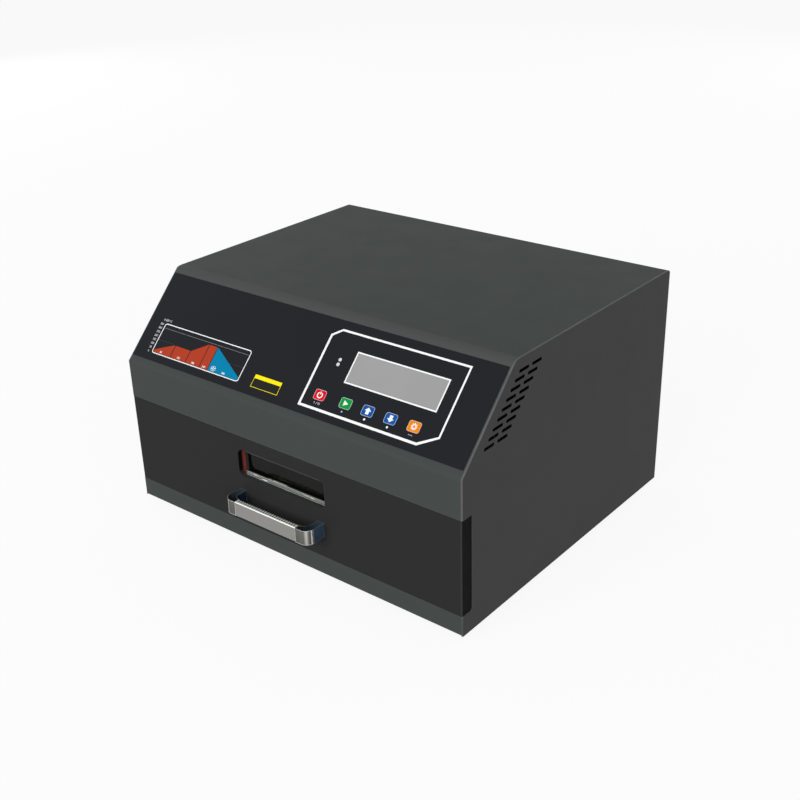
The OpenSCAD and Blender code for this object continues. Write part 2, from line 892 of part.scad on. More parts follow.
// Two steel strips under the roof that carry the caps
module lamp_brackets() {
  low = lamp_z - cap_size / 2;
  end_gap = 8;
  color("#9fa2a3") body_frame()
    for (side = [0, 1])
      mirror([side, 0, 0]) {
        difference() {
          block([bracket_x, bulkhead_back + end_gap, low],
            [bracket_x + sheet, chamber_back - end_gap, roof_under]);
          for (y = lamp_ys)
            translate([bracket_x - 3 * sheet, y, lamp_z]) rotate([0, 90, 0])
              cylinder(r = lamp_radius + hole_gap, h = 6 * sheet);
        }
        block([bracket_x, bulkhead_back + end_gap, roof_under - sheet],
          [chamber_half, chamber_back - end_gap, roof_under]);
      }
}

// Sheathed probe that reaches over the tray, with its hexagonal gland on the rear wall
module thermocouple() {
  color("#a8adb0") body_frame()
    translate([probe_x, chamber_back, probe_z]) rotate([90, 0, 0]) {
      translate([0, 0, -wool_t - 2])
        cylinder(r = probe_radius, h = probe_length, $fn = 24);
      cylinder(r = 5, h = 5, $fn = 6);
      translate([0, 0, probe_length - wool_t - 1])
        sphere(r = probe_radius, $fn = 24);
    }
}

// Short pipe from the chamber's outlets to the fan
module exhaust_duct() {
  color("#a9adae") body_frame()
    difference() {
      union() {
        translate([fan_x, 0, fan_z])
          backwards(shell_back, fan_front)
            circle(r = fan_bore + liner_sheet);
        translate([fan_x, 0, fan_z])
          backwards(fan_front - liner_sheet, fan_front)
            rounded_rect(fan_size, fan_size, 4);
      }
      translate([fan_x, 0, fan_z])
        backwards(shell_back - cut, fan_front + cut)
          circle(r = fan_bore);
      for (p = fan_holes)
        translate([p[0], fan_front, p[2]]) facing_back() screw_hole(m4_radius);
    }
}

// ---- exhaust fan

// Moves its children to the fan's middle, with +Z to the back from the frame's front face
module at_fan() {
  translate([fan_x, fan_front, fan_z]) facing_back()
    children();
}

// Square frame with a round bore, four struts and the motor's plate
module fan_frame() {
  color("#232425") body_frame()
    at_fan()
      difference() {
        union() {
          difference() {
            linear_extrude(fan_depth)
              rounded_rect(fan_size, fan_size, 4);
            translate([0, 0, -cut])
              cylinder(r = fan_bore, h = fan_depth + 2 * cut);
            // Waist between the two flanges
            for (a = [0:90:270])
              rotate(a)
                translate([fan_size / 2 - 1.2, -fan_size / 2 + 13, 4])
                  cube([2, fan_size - 26, fan_depth - 8]);
          }
          cylinder(r = hub_radius + 1, h = fan_plate);
          for (a = [20:90:290])
            rotate(a)
              translate([hub_radius, -2, 0])
                cube([fan_bore - hub_radius + 1, 4, fan_plate]);
        }
        translate([0, 0, -cut])
          cylinder(r = m3_radius + pin_gap, h = fan_plate + 2 * cut);
        for (x = [-1, 1], y = [-1, 1])
          translate([x * fan_screw_pitch / 2, y * fan_screw_pitch / 2, -cut])
            cylinder(r = m4_radius + hole_gap, h = fan_depth + 2 * cut, $fn = 24);
      }
}

// Impeller: hub, shaft and seven curved blades cut to a ring
module fan_rotor() {
  low = fan_plate + 0.5;
  high = fan_depth - 2;
  blade_curve = 22;
  tip = fan_bore - 1;
  color("#2c2e30") body_frame()
    at_fan() {
      translate([0, 0, low])
        difference() {
          cylinder(r = hub_radius, h = high - low);
          translate([0, 0, -cut])
            cylinder(r = hub_radius - 2, h = high - low - 2 + cut);
        }
      translate([0, 0, 0.5])
        cylinder(r = m3_radius, h = high - 1);
      intersection() {
        translate([0, 0, low + 1])
          difference() {
            cylinder(r = tip, h = high - low - 2);
            translate([0, 0, -cut])
              cylinder(r = hub_radius - 1, h = high);
          }
        for (a = [0:360 / 7:359])
          rotate(a)
            translate([0, 0, (low + high) / 2])
              rotate([90, 0, 90])
                linear_extrude(tip + cut)
                  rotate(-38)
                    intersection() {
                      difference() {
                        translate([0, -blade_curve])
                          circle(r = blade_curve + 1.6);
                        translate([0, -blade_curve])
                          circle(r = blade_curve);
                      }
                      translate([-13, -12])
                        square([26, 15]);
                    }
      }
    }
}

// Wire guard: four rings on a cross of spokes, with an eye at each screw
module fan_guard() {
  wire = 0.9;
  eye = 4.6;
  guard_hub = 6;
  spoke = fan_screw_pitch / sqrt(2) - eye + wire;
  mid = guard_depth - wire;
  color("#c4c7c9") body_frame()
    translate([fan_x, panel_back, fan_z]) facing_back() {
      translate([0, 0, mid - 1.2 * wire])
        cylinder(r = guard_hub, h = 2 * wire);
      for (r = [fan_bore - 3, fan_bore - 11, fan_bore - 19, fan_bore - 27])
        translate([0, 0, mid - 1.3 * wire])
          rotate_extrude()
            translate([r, 0]) circle(r = wire, $fn = 16);
      for (a = [45:90:315])
        rotate(a) {
          translate([guard_hub / 2, 0, mid]) rotate([0, 90, 0])
            cylinder(r = wire, h = spoke - guard_hub / 2, $fn = 16);
          translate([spoke - wire, 0, wire])
            cylinder(r = 0.85 * wire, h = mid - wire, $fn = 16);
          translate([fan_screw_pitch / sqrt(2), 0, 0])
            difference() {
              cylinder(r = eye, h = 2 * wire, $fn = 32);
              translate([0, 0, -cut])
                cylinder(r = m4_radius + hole_gap, h = 4, $fn = 24);
            }
        }
    }
}

module fan_screws() {
  color("#3a3a3c") body_frame()
    for (p = fan_holes)
      translate([p[0], panel_back + 1.8, p[2]]) facing_back()
        m4_screw(fan_depth + 3);
}

// ---- control panel

// Printed film over most of the slope, with openings for the display, keys and lights
module control_overlay() {
  color("#26292b") body_frame()
    slope_layer(0, overlay_t)
      difference() {
        translate([-overlay_w / 2, overlay_foot])
          square([overlay_w, overlay_h]);
        panel_holes(fit_gap);
      }
}

// Clear window in the overlay, with a rim glued behind the steel
module display_window() {
  color("#a0a0a0") body_frame() {
    slope_layer(-sheet, overlay_t - 0.1)
      translate([display_x, display_v])
        square([display_w, display_h], center = true);
    slope_layer(-sheet - 1, -sheet)
      translate([display_x, display_v])
        square([display_w + 4, display_h + 3], center = true);
  }
}

// Display glass in its metal bezel, seated on the control board
module display_module() {
  color("#7d8487") body_frame() {
    slope_layer(-board_depth, -sheet - 1)
      translate([display_x, display_v])
        square([display_w + 2, display_h + 8], center = true);
    for (s = [-1, 1])
      slope_layer(-board_depth, -board_depth + 3)
        translate([display_x + s * (display_w / 2 + 3), display_v])
          square([6, 10], center = true);
  }
}

module control_board() {
  color("#1d5a35") body_frame()
    slope_layer(-board_depth - board_t, -board_depth)
      difference() {
        translate([board_x[0], board_v[0]])
          square([board_x[1] - board_x[0], board_v[1] - board_v[0]]);
        for (p = control_posts)
          translate(p) circle(r = m3_radius + hole_gap, $fn = 24);
      }
}

// One tact switch under each key: body, metal cover and plunger
module key_switches() {
  color("#2e2f31") body_frame()
    for (x = key_xs) {
      slope_layer(-board_depth, -board_depth + 3.5)
        translate([x, key_v]) square([6, 6], center = true);
      slope_layer(-board_depth + 3.5, -switch_top)
        translate([x, key_v]) circle(r = 1.7, $fn = 24);
    }
}

// Two lights on long collars, with round tops in the overlay
module indicator_leds() {
  color("#d2d3d3") body_frame()
    for (v = led_vs) {
      slope_layer(-board_depth, overlay_t)
        translate([led_x, v]) circle(r = led_radius, $fn = 24);
      slope_layer(-board_depth, -board_depth + 1.5)
        translate([led_x, v]) circle(r = led_radius + 0.4, $fn = 24);
    }
}

// A key: cap through the overlay, flange that rests under the steel, and stem to its switch
module key(x, tint) {
  flange_back = -sheet - key_flange_t;
  color(tint) body_frame() {
    slope_layer(flange_back, overlay_t + key_proud)
      translate([x, key_v]) rounded_rect(key_w, key_h, key_radius);
    slope_layer(flange_back, -sheet)
      translate([x, key_v])
        rounded_rect(key_w + 2 * key_flange, key_h + 2 * key_flange, key_radius);
    slope_layer(flange_back - key_stem, -sheet - key_flange_t / 2)
      translate([x, key_v]) circle(r = 1.7, $fn = 24);
  }
}

module key_power() {
  key(key_xs[0], "#d3262b");
}

module key_start() {
  key(key_xs[1], "#1e9646");
}

module key_up() {
  key(key_xs[2], "#1d55a5");
}

module key_down() {
  key(key_xs[3], "#1d55a5");
}

module key_set() {
  key(key_xs[4], "#ee8a22");
}

// A hexagonal spacer with a stud through a board and a nut: the board lies on Z = 0
module board_post() {
  translate([0, 0, -spacer])
    cylinder(r = 3.2, h = spacer, $fn = 6);
  translate([0, 0, -cut])
    cylinder(r = m3_radius, h = board_t + 3 + cut, $fn = 24);
  translate([0, 0, board_t])
    cylinder(r = 3.2, h = 2.2, $fn = 6);
}

module board_standoffs() {
  color("#c8b060") body_frame() {
    on_slope()
      for (p = control_posts)
        translate([p[0], p[1], -board_depth]) rotate([180, 0, 0]) board_post();
    for (p = power_posts)
      translate([p[0], p[1], power_board_z]) board_post();
  }
}

// ---- electronics

// Bridge over the insulation, with legs down to the base pan
module service_shelf() {
  foot = 5;
  color("#aeb1b2") body_frame()
    difference() {
      union() {
        difference() {
          across(2 * (shelf_leg + sheet))
            translate([shelf_front, sheet])
              square([shelf_back - shelf_front, shelf_top - sheet]);
          block([-shelf_leg, -cut, -cut], [shelf_leg, body_d, shelf_z]);
        }
        block_pair([shelf_leg - foot, shelf_front, sheet],
          [shelf_leg, shelf_back, 2 * sheet]);
      }
      for (p = power_posts)
        translate([p[0], p[1], shelf_top - sheet / 2])
          translate([0, 0, -2 * sheet])
            cylinder(r = m3_radius + hole_gap, h = 2 * sheet, $fn = 24);
    }
}

module power_board() {
  color("#1d5a35") body_frame()
    translate([0, 0, power_board_z])
      linear_extrude(board_t)
        difference() {
          translate([power_board_x[0], power_board_y[0]])
            square([power_board_x[1] - power_board_x[0],
              power_board_y[1] - power_board_y[0]]);
          for (p = power_posts)
            translate(p) circle(r = m3_radius + hole_gap, $fn = 24);
        }
}

// Parts soldered to the power board: relays, capacitors, a fuse in its clips, terminals, chips
module power_components() {
  top = power_board_z + board_t;
  x0 = power_board_x[0];
  y0 = power_board_y[0];
  color("#33383c") body_frame()
    translate([x0, y0, top]) {
      for (i = [0:2])
        translate([16 + i * 22, 44, 0]) cube([18, 15, 15]);
      for (i = [0:1])
        translate([92 + i * 16, 50, 0]) cylinder(r = 6.5, h = 18);
      translate([84, 26, 0]) cube([30, 6, 3]);
      translate([84, 29, 5.5]) rotate([0, 90, 0]) cylinder(r = 2.6, h = 30, $fn = 24);
      for (i = [0:3])
        translate([12 + i * 9, 72, 0]) cube([7, 4, 12]);
      translate([62, 24, 0]) cube([14, 8, 3]);
    }
  color("#33383c") body_frame()
    translate([x0 + 14, y0 + 82, top])
      difference() {
        cube([60, 11, 10]);
        for (i = [0:5])
          translate([5 + i * 10, 5.5, 4]) cylinder(r = 2, h = 8, $fn = 24);
      }
}

// Finned block behind the power switches, seated on the board
module heat_sink() {
  fins = 9;
  pitch = 4.6;
  x0 = power_board_x[0] + 80;
  y0 = power_board_y[0] + 66;
  color("#8e9396") body_frame()
    translate([x0, y0, power_board_z + board_t])
      linear_extrude(28) {
        square([(fins - 1) * pitch + 1.4, 3.5]);
        for (i = [0:fins - 1])
          translate([i * pitch, 0]) square([1.4, 18]);
      }
}

// Laminated core with two windows, on a foot plate
module transformer_core() {
  color("#55585a") body_frame()
    translate([transformer_mid[0], transformer_mid[1], shelf_top]) {
      translate([0, 0, sheet])
        backwards(-core_t / 2, core_t / 2)
          difference() {
            translate([-core_w / 2, 0]) square([core_w, core_h]);
            for (s = [-1, 1])
              translate([s * (core_leg * 1.5) - core_leg / 2, core_leg])
                square([core_leg, core_h - 2 * core_leg]);
          }
      difference() {
        block([-core_w / 2 - 12, -core_t / 2, 0], [core_w / 2 + 12, core_t / 2, sheet]);
        for (s = [-1, 1])
          translate([s * (core_w / 2 + 6), 0, 0]) screw_hole(m4_radius);
      }
    }
}

module transformer_coil() {
  color("#c7a75a") body_frame()
    translate([transformer_mid[0], transformer_mid[1], shelf_top + sheet + core_leg])
      difference() {
        linear_extrude(core_h - 2 * core_leg)
          rounded_rect(core_leg * 4 - 2 * fit_gap, core_t + 18, 3);
        translate([-core_leg - fit_gap, -core_t / 2 - fit_gap, -cut])
          cube([2 * (core_leg + fit_gap), core_t + 2 * fit_gap, core_h]);
      }
}

// Flat cable between the two boards, with a plug at each end
module ribbon_cable() {
  ribbon_x = half_w - 100;
  ribbon_w = 26;
  plug_v = 50;
  plug = [5, 6];
  start = [plug_v * cos(slope_angle) + (board_depth + board_t + plug[1]) * sin(slope_angle),
    slope_foot + plug_v * sin(slope_angle)
      - (board_depth + board_t + plug[1]) * cos(slope_angle)];
  end = [power_board_y[0] + 6, power_board_z + board_t + plug[1]];
  color("#8a8d90") body_frame() {
    translate([ribbon_x, 0, 0])
      across(ribbon_w)
        strip_outline([start, start + [8, -2], (start + end) / 2 + [-3.7, 3.4],
          end + [-12, 6], end], 1);
    translate([ribbon_x, 0, 0])
      on_slope()
        translate([-ribbon_w / 2, plug_v - plug[0] / 2,
          -board_depth - board_t - plug[1] - 0.5])
          cube([ribbon_w, plug[0], plug[1] + 0.5]);
    translate([ribbon_x - ribbon_w / 2, end[0] - plug[0] / 2, power_board_z + board_t])
      cube([ribbon_w, plug[0], plug[1] + 0.5]);
  }
}

// ---- mains side

// Appliance inlet: flange outside the panel, body through it, and a keyed socket
module mains_inlet() {
  half = inlet_socket[0] / 2;
  top = inlet_socket[1] / 2;
  corner = 5;
  color("#1b1b1c") body_frame()
    translate([inlet_x, panel_back, inlet_z])
      difference() {
        union() {
          backwards(0, inlet_flange[2])
            rounded_rect(inlet_flange[0], inlet_flange[1], 4);
          backwards(-sheet - inlet_body[2], 0)
            rounded_rect(inlet_body[0], inlet_body[1], 2);
        }
        backwards(inlet_flange[2] - inlet_socket[2], inlet_flange[2] + cut)
          polygon([[-half, corner - top], [corner - half, -top], [half - corner, -top],
            [half, corner - top], [half, top], [-half, top]]);
        for (p = pin_ways)
          translate([p[0], -sheet - inlet_body[2] - cut, p[1]])
            backwards(0, 10)
              square([2 + fit_gap, 4 + fit_gap], center = true);
        for (s = [-1, 1])
          translate([s * inlet_screw_reach, 0, 0])
            facing_back() screw_hole(m3_radius);
      }
}

module inlet_pins() {
  color("#c9cacb") body_frame()
    for (p = pin_ways)
      translate([inlet_x + p[0], panel_back + 1, inlet_z + p[1]])
        backwards(-pin_length - sheet, 0)
          square([2, 4], center = true);
}

// Switch body with its bezel, an open front, and bores for the rocker's pins
module switch_body() {
  color("#1b1b1c") body_frame()
    translate([inlet_x, panel_back, switch_z])
      difference() {
        union() {
          backwards(0, 2)
            rounded_rect(switch_size[0] + 3, switch_size[1] + 3, 1.5);
          backwards(-switch_size[2], 0)
            square([switch_size[0], switch_size[1]], center = true);
        }
        backwards(switch_pivot - 6, 2 + cut)
          square([2 * rocker_half + 0.5, 2 * rocker_reach + 2], center = true);
        translate([0, switch_pivot, 0]) rotate([0, 90, 0])
          cylinder(r = 1 + pin_gap, h = switch_size[0] + 2 * cut, center = true,
            $fn = 32);
      }
}

// Rocker on two pins, drawn tipped to one side
module switch_rocker() {
  face = 5.8;
  color("#2a2a2b") body_frame()
    translate([inlet_x, panel_back + switch_pivot, switch_z])
      rotate([-rocker_swing / 2, 0, 0]) {
        across(2 * rocker_half)
          polygon([[face - 1.2, 0], [face, rocker_reach], [1, rocker_reach], [-3, 3],
            [-3, -3], [1, -rocker_reach], [face, -rocker_reach]]);
        rotate([0, 90, 0])
          cylinder(r = 1, h = 2 * rocker_half + 2.4, center = true, $fn = 32);
      }
}

// ---- slides

// A channel rail: web on the +X side, flanges towards -X
module rail(web_x, width, height, length) {
  difference() {
    block([web_x - width, 0, -height / 2], [web_x, length, height / 2]);
    block([web_x - width - cut, -cut, -height / 2 + rail_t],
      [web_x - rail_t, length + cut, height / 2 - rail_t]);
  }
}

module slide_outer_rails() {
  color("#b0b3b5") body_frame()
    for (s = [0, 1])
      mirror([s, 0, 0])
        translate([0, slide_start, rail_mid_z])
          rail(chamber_half, slide_t - 0.6, slide_h, slide_length);
}

module middle_rail() {
  translate([0, slide_start, rail_mid_z])
    rail(chamber_half - rail_step, middle_w, slide_h - 2 * rail_step, slide_length - 3);
}

module slide_middle_left() {
  color("#c2c5c6") body_frame()
    mirror([1, 0, 0]) middle_rail();
}

module slide_middle_right() {
  color("#c2c5c6") body_frame()
    middle_rail();
}

// Inner rails: the same channel turned round, fixed to the drawer's sides
module slide_inner_rails() {
  height = slide_h - 4 * rail_step;
  far = chamber_half - 2 * rail_step;
  color("#d0d2d3") body_frame()
    for (s = [0, 1])
      mirror([s, 0, 0])
        translate([0, liner_back + 2, rail_mid_z])
          difference() {
            block([slide_face, 0, -height / 2], [far, slide_length - 8, height / 2]);
            block([slide_face + rail_t, -cut, -height / 2 + rail_t],
              [far + cut, slide_length, height / 2 - rail_t]);
          }
}

// ---- drawer front

// The window's opening, wider by a margin on each side
module window_outline(margin, radius) {
  translate(window_mid)
    rounded_rect(window_w + 2 * margin, window_h + 2 * margin, radius);
}

// The space inside the front pan, less a gap all round
module front_inside() {
  half = front_half - sheet - fit_gap;
  translate([-half, front_z + sheet + fit_gap])
    square([2 * half, front_h - 2 * (sheet + fit_gap)]);
}

// Front pan: face with a drawn collar round the window, side flanges and rear hems
module drawer_front() {
  inside = front_half - sheet;
  color("#303030") body_frame()
    difference() {
      union() {
        difference() {
          // Folded box with round side folds and rounded rear corners
          intersection() {
            translate([0, 0, front_z])
              linear_extrude(front_h)
                rounded_outline([[-front_half, 0], [front_half, 0],
                  [front_half, front_t], [-front_half, front_t]],
                  [front_fold, front_fold, 0, 0]);
            across(body_w)
              rounded_outline([[0, front_z], [front_t, front_z],
                [front_t, front_top], [0, front_top]],
                [0, flange_corner, 0.5, 0]);
          }
          block([-inside, sheet, front_z + sheet],
            [inside, front_t + cut, front_top - sheet]);
        }
        // Hems that the liner rests on
        for (z = [front_z + sheet, front_top - sheet - hem_width])
          block([-inside, liner_front - sheet, z],
            [inside, liner_front, z + hem_width]);
        backwards(0, collar_depth)
          window_outline(sheet, window_radius + sheet);
      }
      backwards(-cut, collar_depth + cut)
        window_outline(0, window_radius);
      for (p = handle_holes)
        translate(p) facing_back() screw_hole(m4_radius);
    }
}

// Steel plate that closes the back of the front pan
module drawer_liner() {
  color("#b4b6b4") body_frame()
    backwards(liner_front, liner_back)
      difference() {
        front_inside();
        window_outline(0, window_radius);
      }
}

// Board of insulation inside the front pan, cut out round the window and the handle's screws
module drawer_insulation() {
  color("#6f6c66") body_frame()
    backwards(sheet, liner_front - sheet)
      difference() {
        front_inside();
        window_outline(glass_margin + fit_gap, 0.3);
        for (p = handle_holes)
          translate([p[0], p[2]]) circle(r = m4_head_radius + cut);
      }
}

module window_glass() {
  color("#2a2e30", 0.5) body_frame()
    backwards(seal_back, liner_front)
      window_outline(glass_margin, 2);
}

// Red seal: a flat ring in front of the glass, with two bars that show beside the window
module window_gasket() {
  color("#b3201c") body_frame() {
    backwards(trim_back, seal_back)
      difference() {
        window_outline(glass_margin, 2);
        translate(window_mid)
          square([window_w - 2 * seal_width, window_h - 2], center = true);
      }
    for (s = [-1, 1])
      backwards(collar_depth, trim_back)
        translate(window_mid + [s * window_w / 2, 0])
          translate([-(s > 0 ? seal_width : glass_margin), -window_h / 2 - glass_margin])
            square([seal_width + glass_margin, window_h + 2 * glass_margin]);
  }
}

// Bright strips above and below the window, each with two fine grooves
module window_trim() {
  length = window_w - 2 * seal_width;
  depth = 0.25;
  color("#c9ccce") body_frame()
    for (s = [0, 1])
      translate([window_mid[0], 0, window_mid[1]])
        mirror([0, 0, s])
          difference() {
            block([-length / 2, collar_depth, -window_h / 2 - glass_margin],
              [length / 2, trim_back, -window_h / 2 + trim_height]);
            for (i = [1, 2])
              block([-length, collar_depth - cut,
                  -window_h / 2 + trim_height * i / 3 - depth],
                [length, collar_depth + depth,
                  -window_h / 2 + trim_height * i / 3 + depth]);
          }
}

// Heat-proof ring between the drawer's liner and the chamber's bulkhead
module door_seal() {
  outer = chamber_half + 2.5 + door_seal_width;
  low = front_z + 2;
  color("#3b3a38") body_frame()
    backwards(liner_back, liner_back + door_seal_t)
      difference() {
        translate([-outer, low])
          square([2 * outer, mouth_top + 5.5 - low]);
        translate([-outer + door_seal_width, chamber_floor - 0.5])
          square([2 * (outer - door_seal_width), mouth_top + 1 - chamber_floor]);
      }
}

// ---- handle

// Bar with fine grooves across its top and underside, and a tenon at each end
module handle_grip() {
  groove = 0.4 * groove_pitch;
  color("#b9bbbb") body_frame()
    translate([handle_shift, -handle_reach, handle_foot + grip_z])
      difference() {
        union() {
          translate([-grip_w / 2, 0, 0])
            rotate([90, 0, 90])
              linear_extrude(grip_w)
                translate([grip_t / 2, 0])
                  rounded_rect(grip_t, grip_h, 0.8);
          translate([0, grip_t / 2, 0])
            cube([grip_w + 2 * tenon, tenon_t, tenon_h], center = true);
        }
        for (x = [-grip_w / 2 + groove_pitch:groove_pitch:grip_w / 2 - groove_pitch / 2])
          for (s = [-1, 1])
            translate([x - groove / 2, 1.2, s * grip_h / 2 - groove_depth])
              cube([groove, grip_t, 2 * groove_depth]);
      }
}

// End bracket, drawn for the right-hand end: a rounded corner with a leg to the drawer front
module bracket() {
  half = handle_w / 2;
  inner = half - leg_w;
  depth = grip_t + 0.8;
  shoulder = grip_w / 2;
  translate([handle_shift, 0, handle_foot])
    difference() {
      linear_extrude(handle_h)
        difference() {
          intersection() {
            rounded_outline([[shoulder, 0], [shoulder, -handle_reach],
              [half, -handle_reach], [half, 0]], [0, 0, bracket_radius, 0]);
            translate([shoulder, -handle_reach])
              square([half - shoulder, handle_reach]);
          }
          translate([0, -handle_reach + depth])
            difference() {
              square([inner, handle_reach + cut]);
              translate([inner - bracket_inner, 0])
                difference() {
                  square([bracket_inner + cut, bracket_inner]);
                  translate([0, bracket_inner])
                    circle(r = bracket_inner);
                }
            }
        }
      // Socket for the grip's tenon
      translate([shoulder, -handle_reach + grip_t / 2, grip_z])
        cube([2 * (tenon + hole_gap), tenon_t + 2 * hole_gap, tenon_h + 2 * hole_gap],
          center = true);
      // Bore for the screw from inside the drawer front
      translate([half - leg_w / 2, cut, handle_h / 2]) rotate([90, 0, 0])
        cylinder(r = m4_radius + pin_gap, h = handle_reach / 2 + cut, $fn = 24);
    }
}

module handle_bracket_right() {
  color("#c4c8cc") body_frame()
    bracket();
}

module handle_bracket_left() {
  color("#c4c8cc") body_frame()
    translate([2 * handle_shift, 0, 0])
      mirror([1, 0, 0]) bracket();
}

module handle_screws() {
  color("#3a3a3c") body_frame()
    for (p = handle_holes)
      translate([p[0], sheet, p[2]]) facing_back() m4_screw(sheet + handle_reach / 2 - 1);
}

// ---- drawer frame and tray

// U-shaped frame behind the liner: two sides with ledges, a back, and tabs on the liner
module drawer_frame() {
  out = slide_face;
  color("#9fa2a3") body_frame() {
    difference() {
      block([-out, liner_back, frame_z], [out, drawer_back, frame_z + drawer_h]);
      block([-out + frame_t, liner_back + frame_t, frame_z - cut],
        [out - frame_t, drawer_back - frame_t, frame_z + drawer_h + cut]);
      block([-out + ledge_width, liner_back - cut, frame_z - cut],
        [out - ledge_width, liner_back + 2 * frame_t, frame_z + drawer_h + cut]);
    }
    block_pair([out - ledge_width, liner_back, ledge_z],
      [out, drawer_back, ledge_z + frame_t]);
  }
}

// Steel tray with a raised rim and rows of air slots
module tray() {
  depth = tray_end - tray_start;
  color("#a4a8a9") body_frame()
    translate([0, tray_start + depth / 2, tray_z])
      difference() {
        linear_extrude(tray_rim)
          rounded_rect(2 * tray_half, depth, 6);
        translate([0, 0, tray_t])
          linear_extrude(tray_rim)
            rounded_rect(2 * (tray_half - tray_t), depth - 2 * tray_t, 5);
        translate([0, 0, -cut])
          linear_extrude(tray_t + 2 * cut)
            slot_field(8, 11, 22, 30, 18);
      }
}

// ---- assembly

outer_cover();
base_pan();
rear_panel();
case_screws();
rubber_feet();
foot_screws();
chamber_shell();
chamber_insulation();
lamp_reflector();
lamp_tubes();
lamp_filaments();
lamp_end_caps();
lamp_brackets();
thermocouple();
exhaust_duct();
fan_frame();
fan_rotor();
fan_guard();
fan_screws();
control_overlay();
display_window();
display_module();
control_board();
key_switches();
indicator_leds();
board_standoffs();
key_power();
key_start();
key_up();
key_down();
key_set();
service_shelf();
power_board();
power_components();
heat_sink();
transformer_core();
transformer_coil();
ribbon_cable();
mains_inlet();
inlet_pins();
switch_body();
switch_rocker();
slide_outer_rails();
slide_middle_left();
slide_middle_right();
slide_inner_rails();
drawer_front();
drawer_liner();
drawer_insulation();
window_glass();
window_gasket();
window_trim();
handle_grip();
handle_bracket_left();
handle_bracket_right();
handle_screws();
drawer_frame();
tray();
door_seal();
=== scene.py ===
"""Looks for the bench-top reflow oven: materials for every CAD node, the printed artwork of its
control panel, a pale studio and the photograph's camera. The artwork is in millimetres in the
casing's own frame: X centred, Y from the front face back, Z from the casing's underside. Places
inside the materials are in metres in the part's frame, whose floor is at Z 0."""
import json
import math

import bmesh
import bpy
from mathutils import Matrix, Vector


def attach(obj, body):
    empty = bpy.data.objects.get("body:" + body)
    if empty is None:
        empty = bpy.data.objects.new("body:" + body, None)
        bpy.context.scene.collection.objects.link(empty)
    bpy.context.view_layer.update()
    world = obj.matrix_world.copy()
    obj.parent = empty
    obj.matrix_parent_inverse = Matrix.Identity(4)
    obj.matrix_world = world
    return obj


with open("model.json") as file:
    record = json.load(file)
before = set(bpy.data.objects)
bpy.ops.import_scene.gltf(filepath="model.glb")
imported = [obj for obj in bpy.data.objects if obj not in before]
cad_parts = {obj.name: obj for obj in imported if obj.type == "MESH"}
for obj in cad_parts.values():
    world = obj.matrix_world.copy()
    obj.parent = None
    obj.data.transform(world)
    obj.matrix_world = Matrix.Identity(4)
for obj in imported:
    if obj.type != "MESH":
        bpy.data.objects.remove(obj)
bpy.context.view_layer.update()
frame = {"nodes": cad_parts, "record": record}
nodes = frame["nodes"]

MM = 0.001
FRONT_Y = -147.3      # where the casing's front face lies in the part's frame
FOOT = 6.0            # height of the feet
SLOPE_FOOT = 138.0    # where the sloping panel starts
SLOPE = math.atan2(70.0, 68.0)      # its rise over its run
HALF_WIDTH = 185.0    # from the casing's middle to its side
OVERLAY_T = 0.5       # thickness of the overlay on the slope
KEY_PROUD = 0.35      # how far the key caps stand out of the overlay
WHITE = (1, 1, 1, 1)


# ---------------------------------------------------------------- places

def body_point(x, y, z):
    """A point of the casing's frame, in metres in the part's frame."""
    return Vector((x, y + FRONT_Y, z + FOOT)) * MM


def slope_point(x, v, out=0.0):
    """x across, v up the sloping panel from its lower bend, out above its steel."""
    c, s = math.cos(SLOPE), math.sin(SLOPE)
    return body_point(x, v * c - out * s, SLOPE_FOOT + v * s + out * c)


# ---------------------------------------------------------------- node helpers

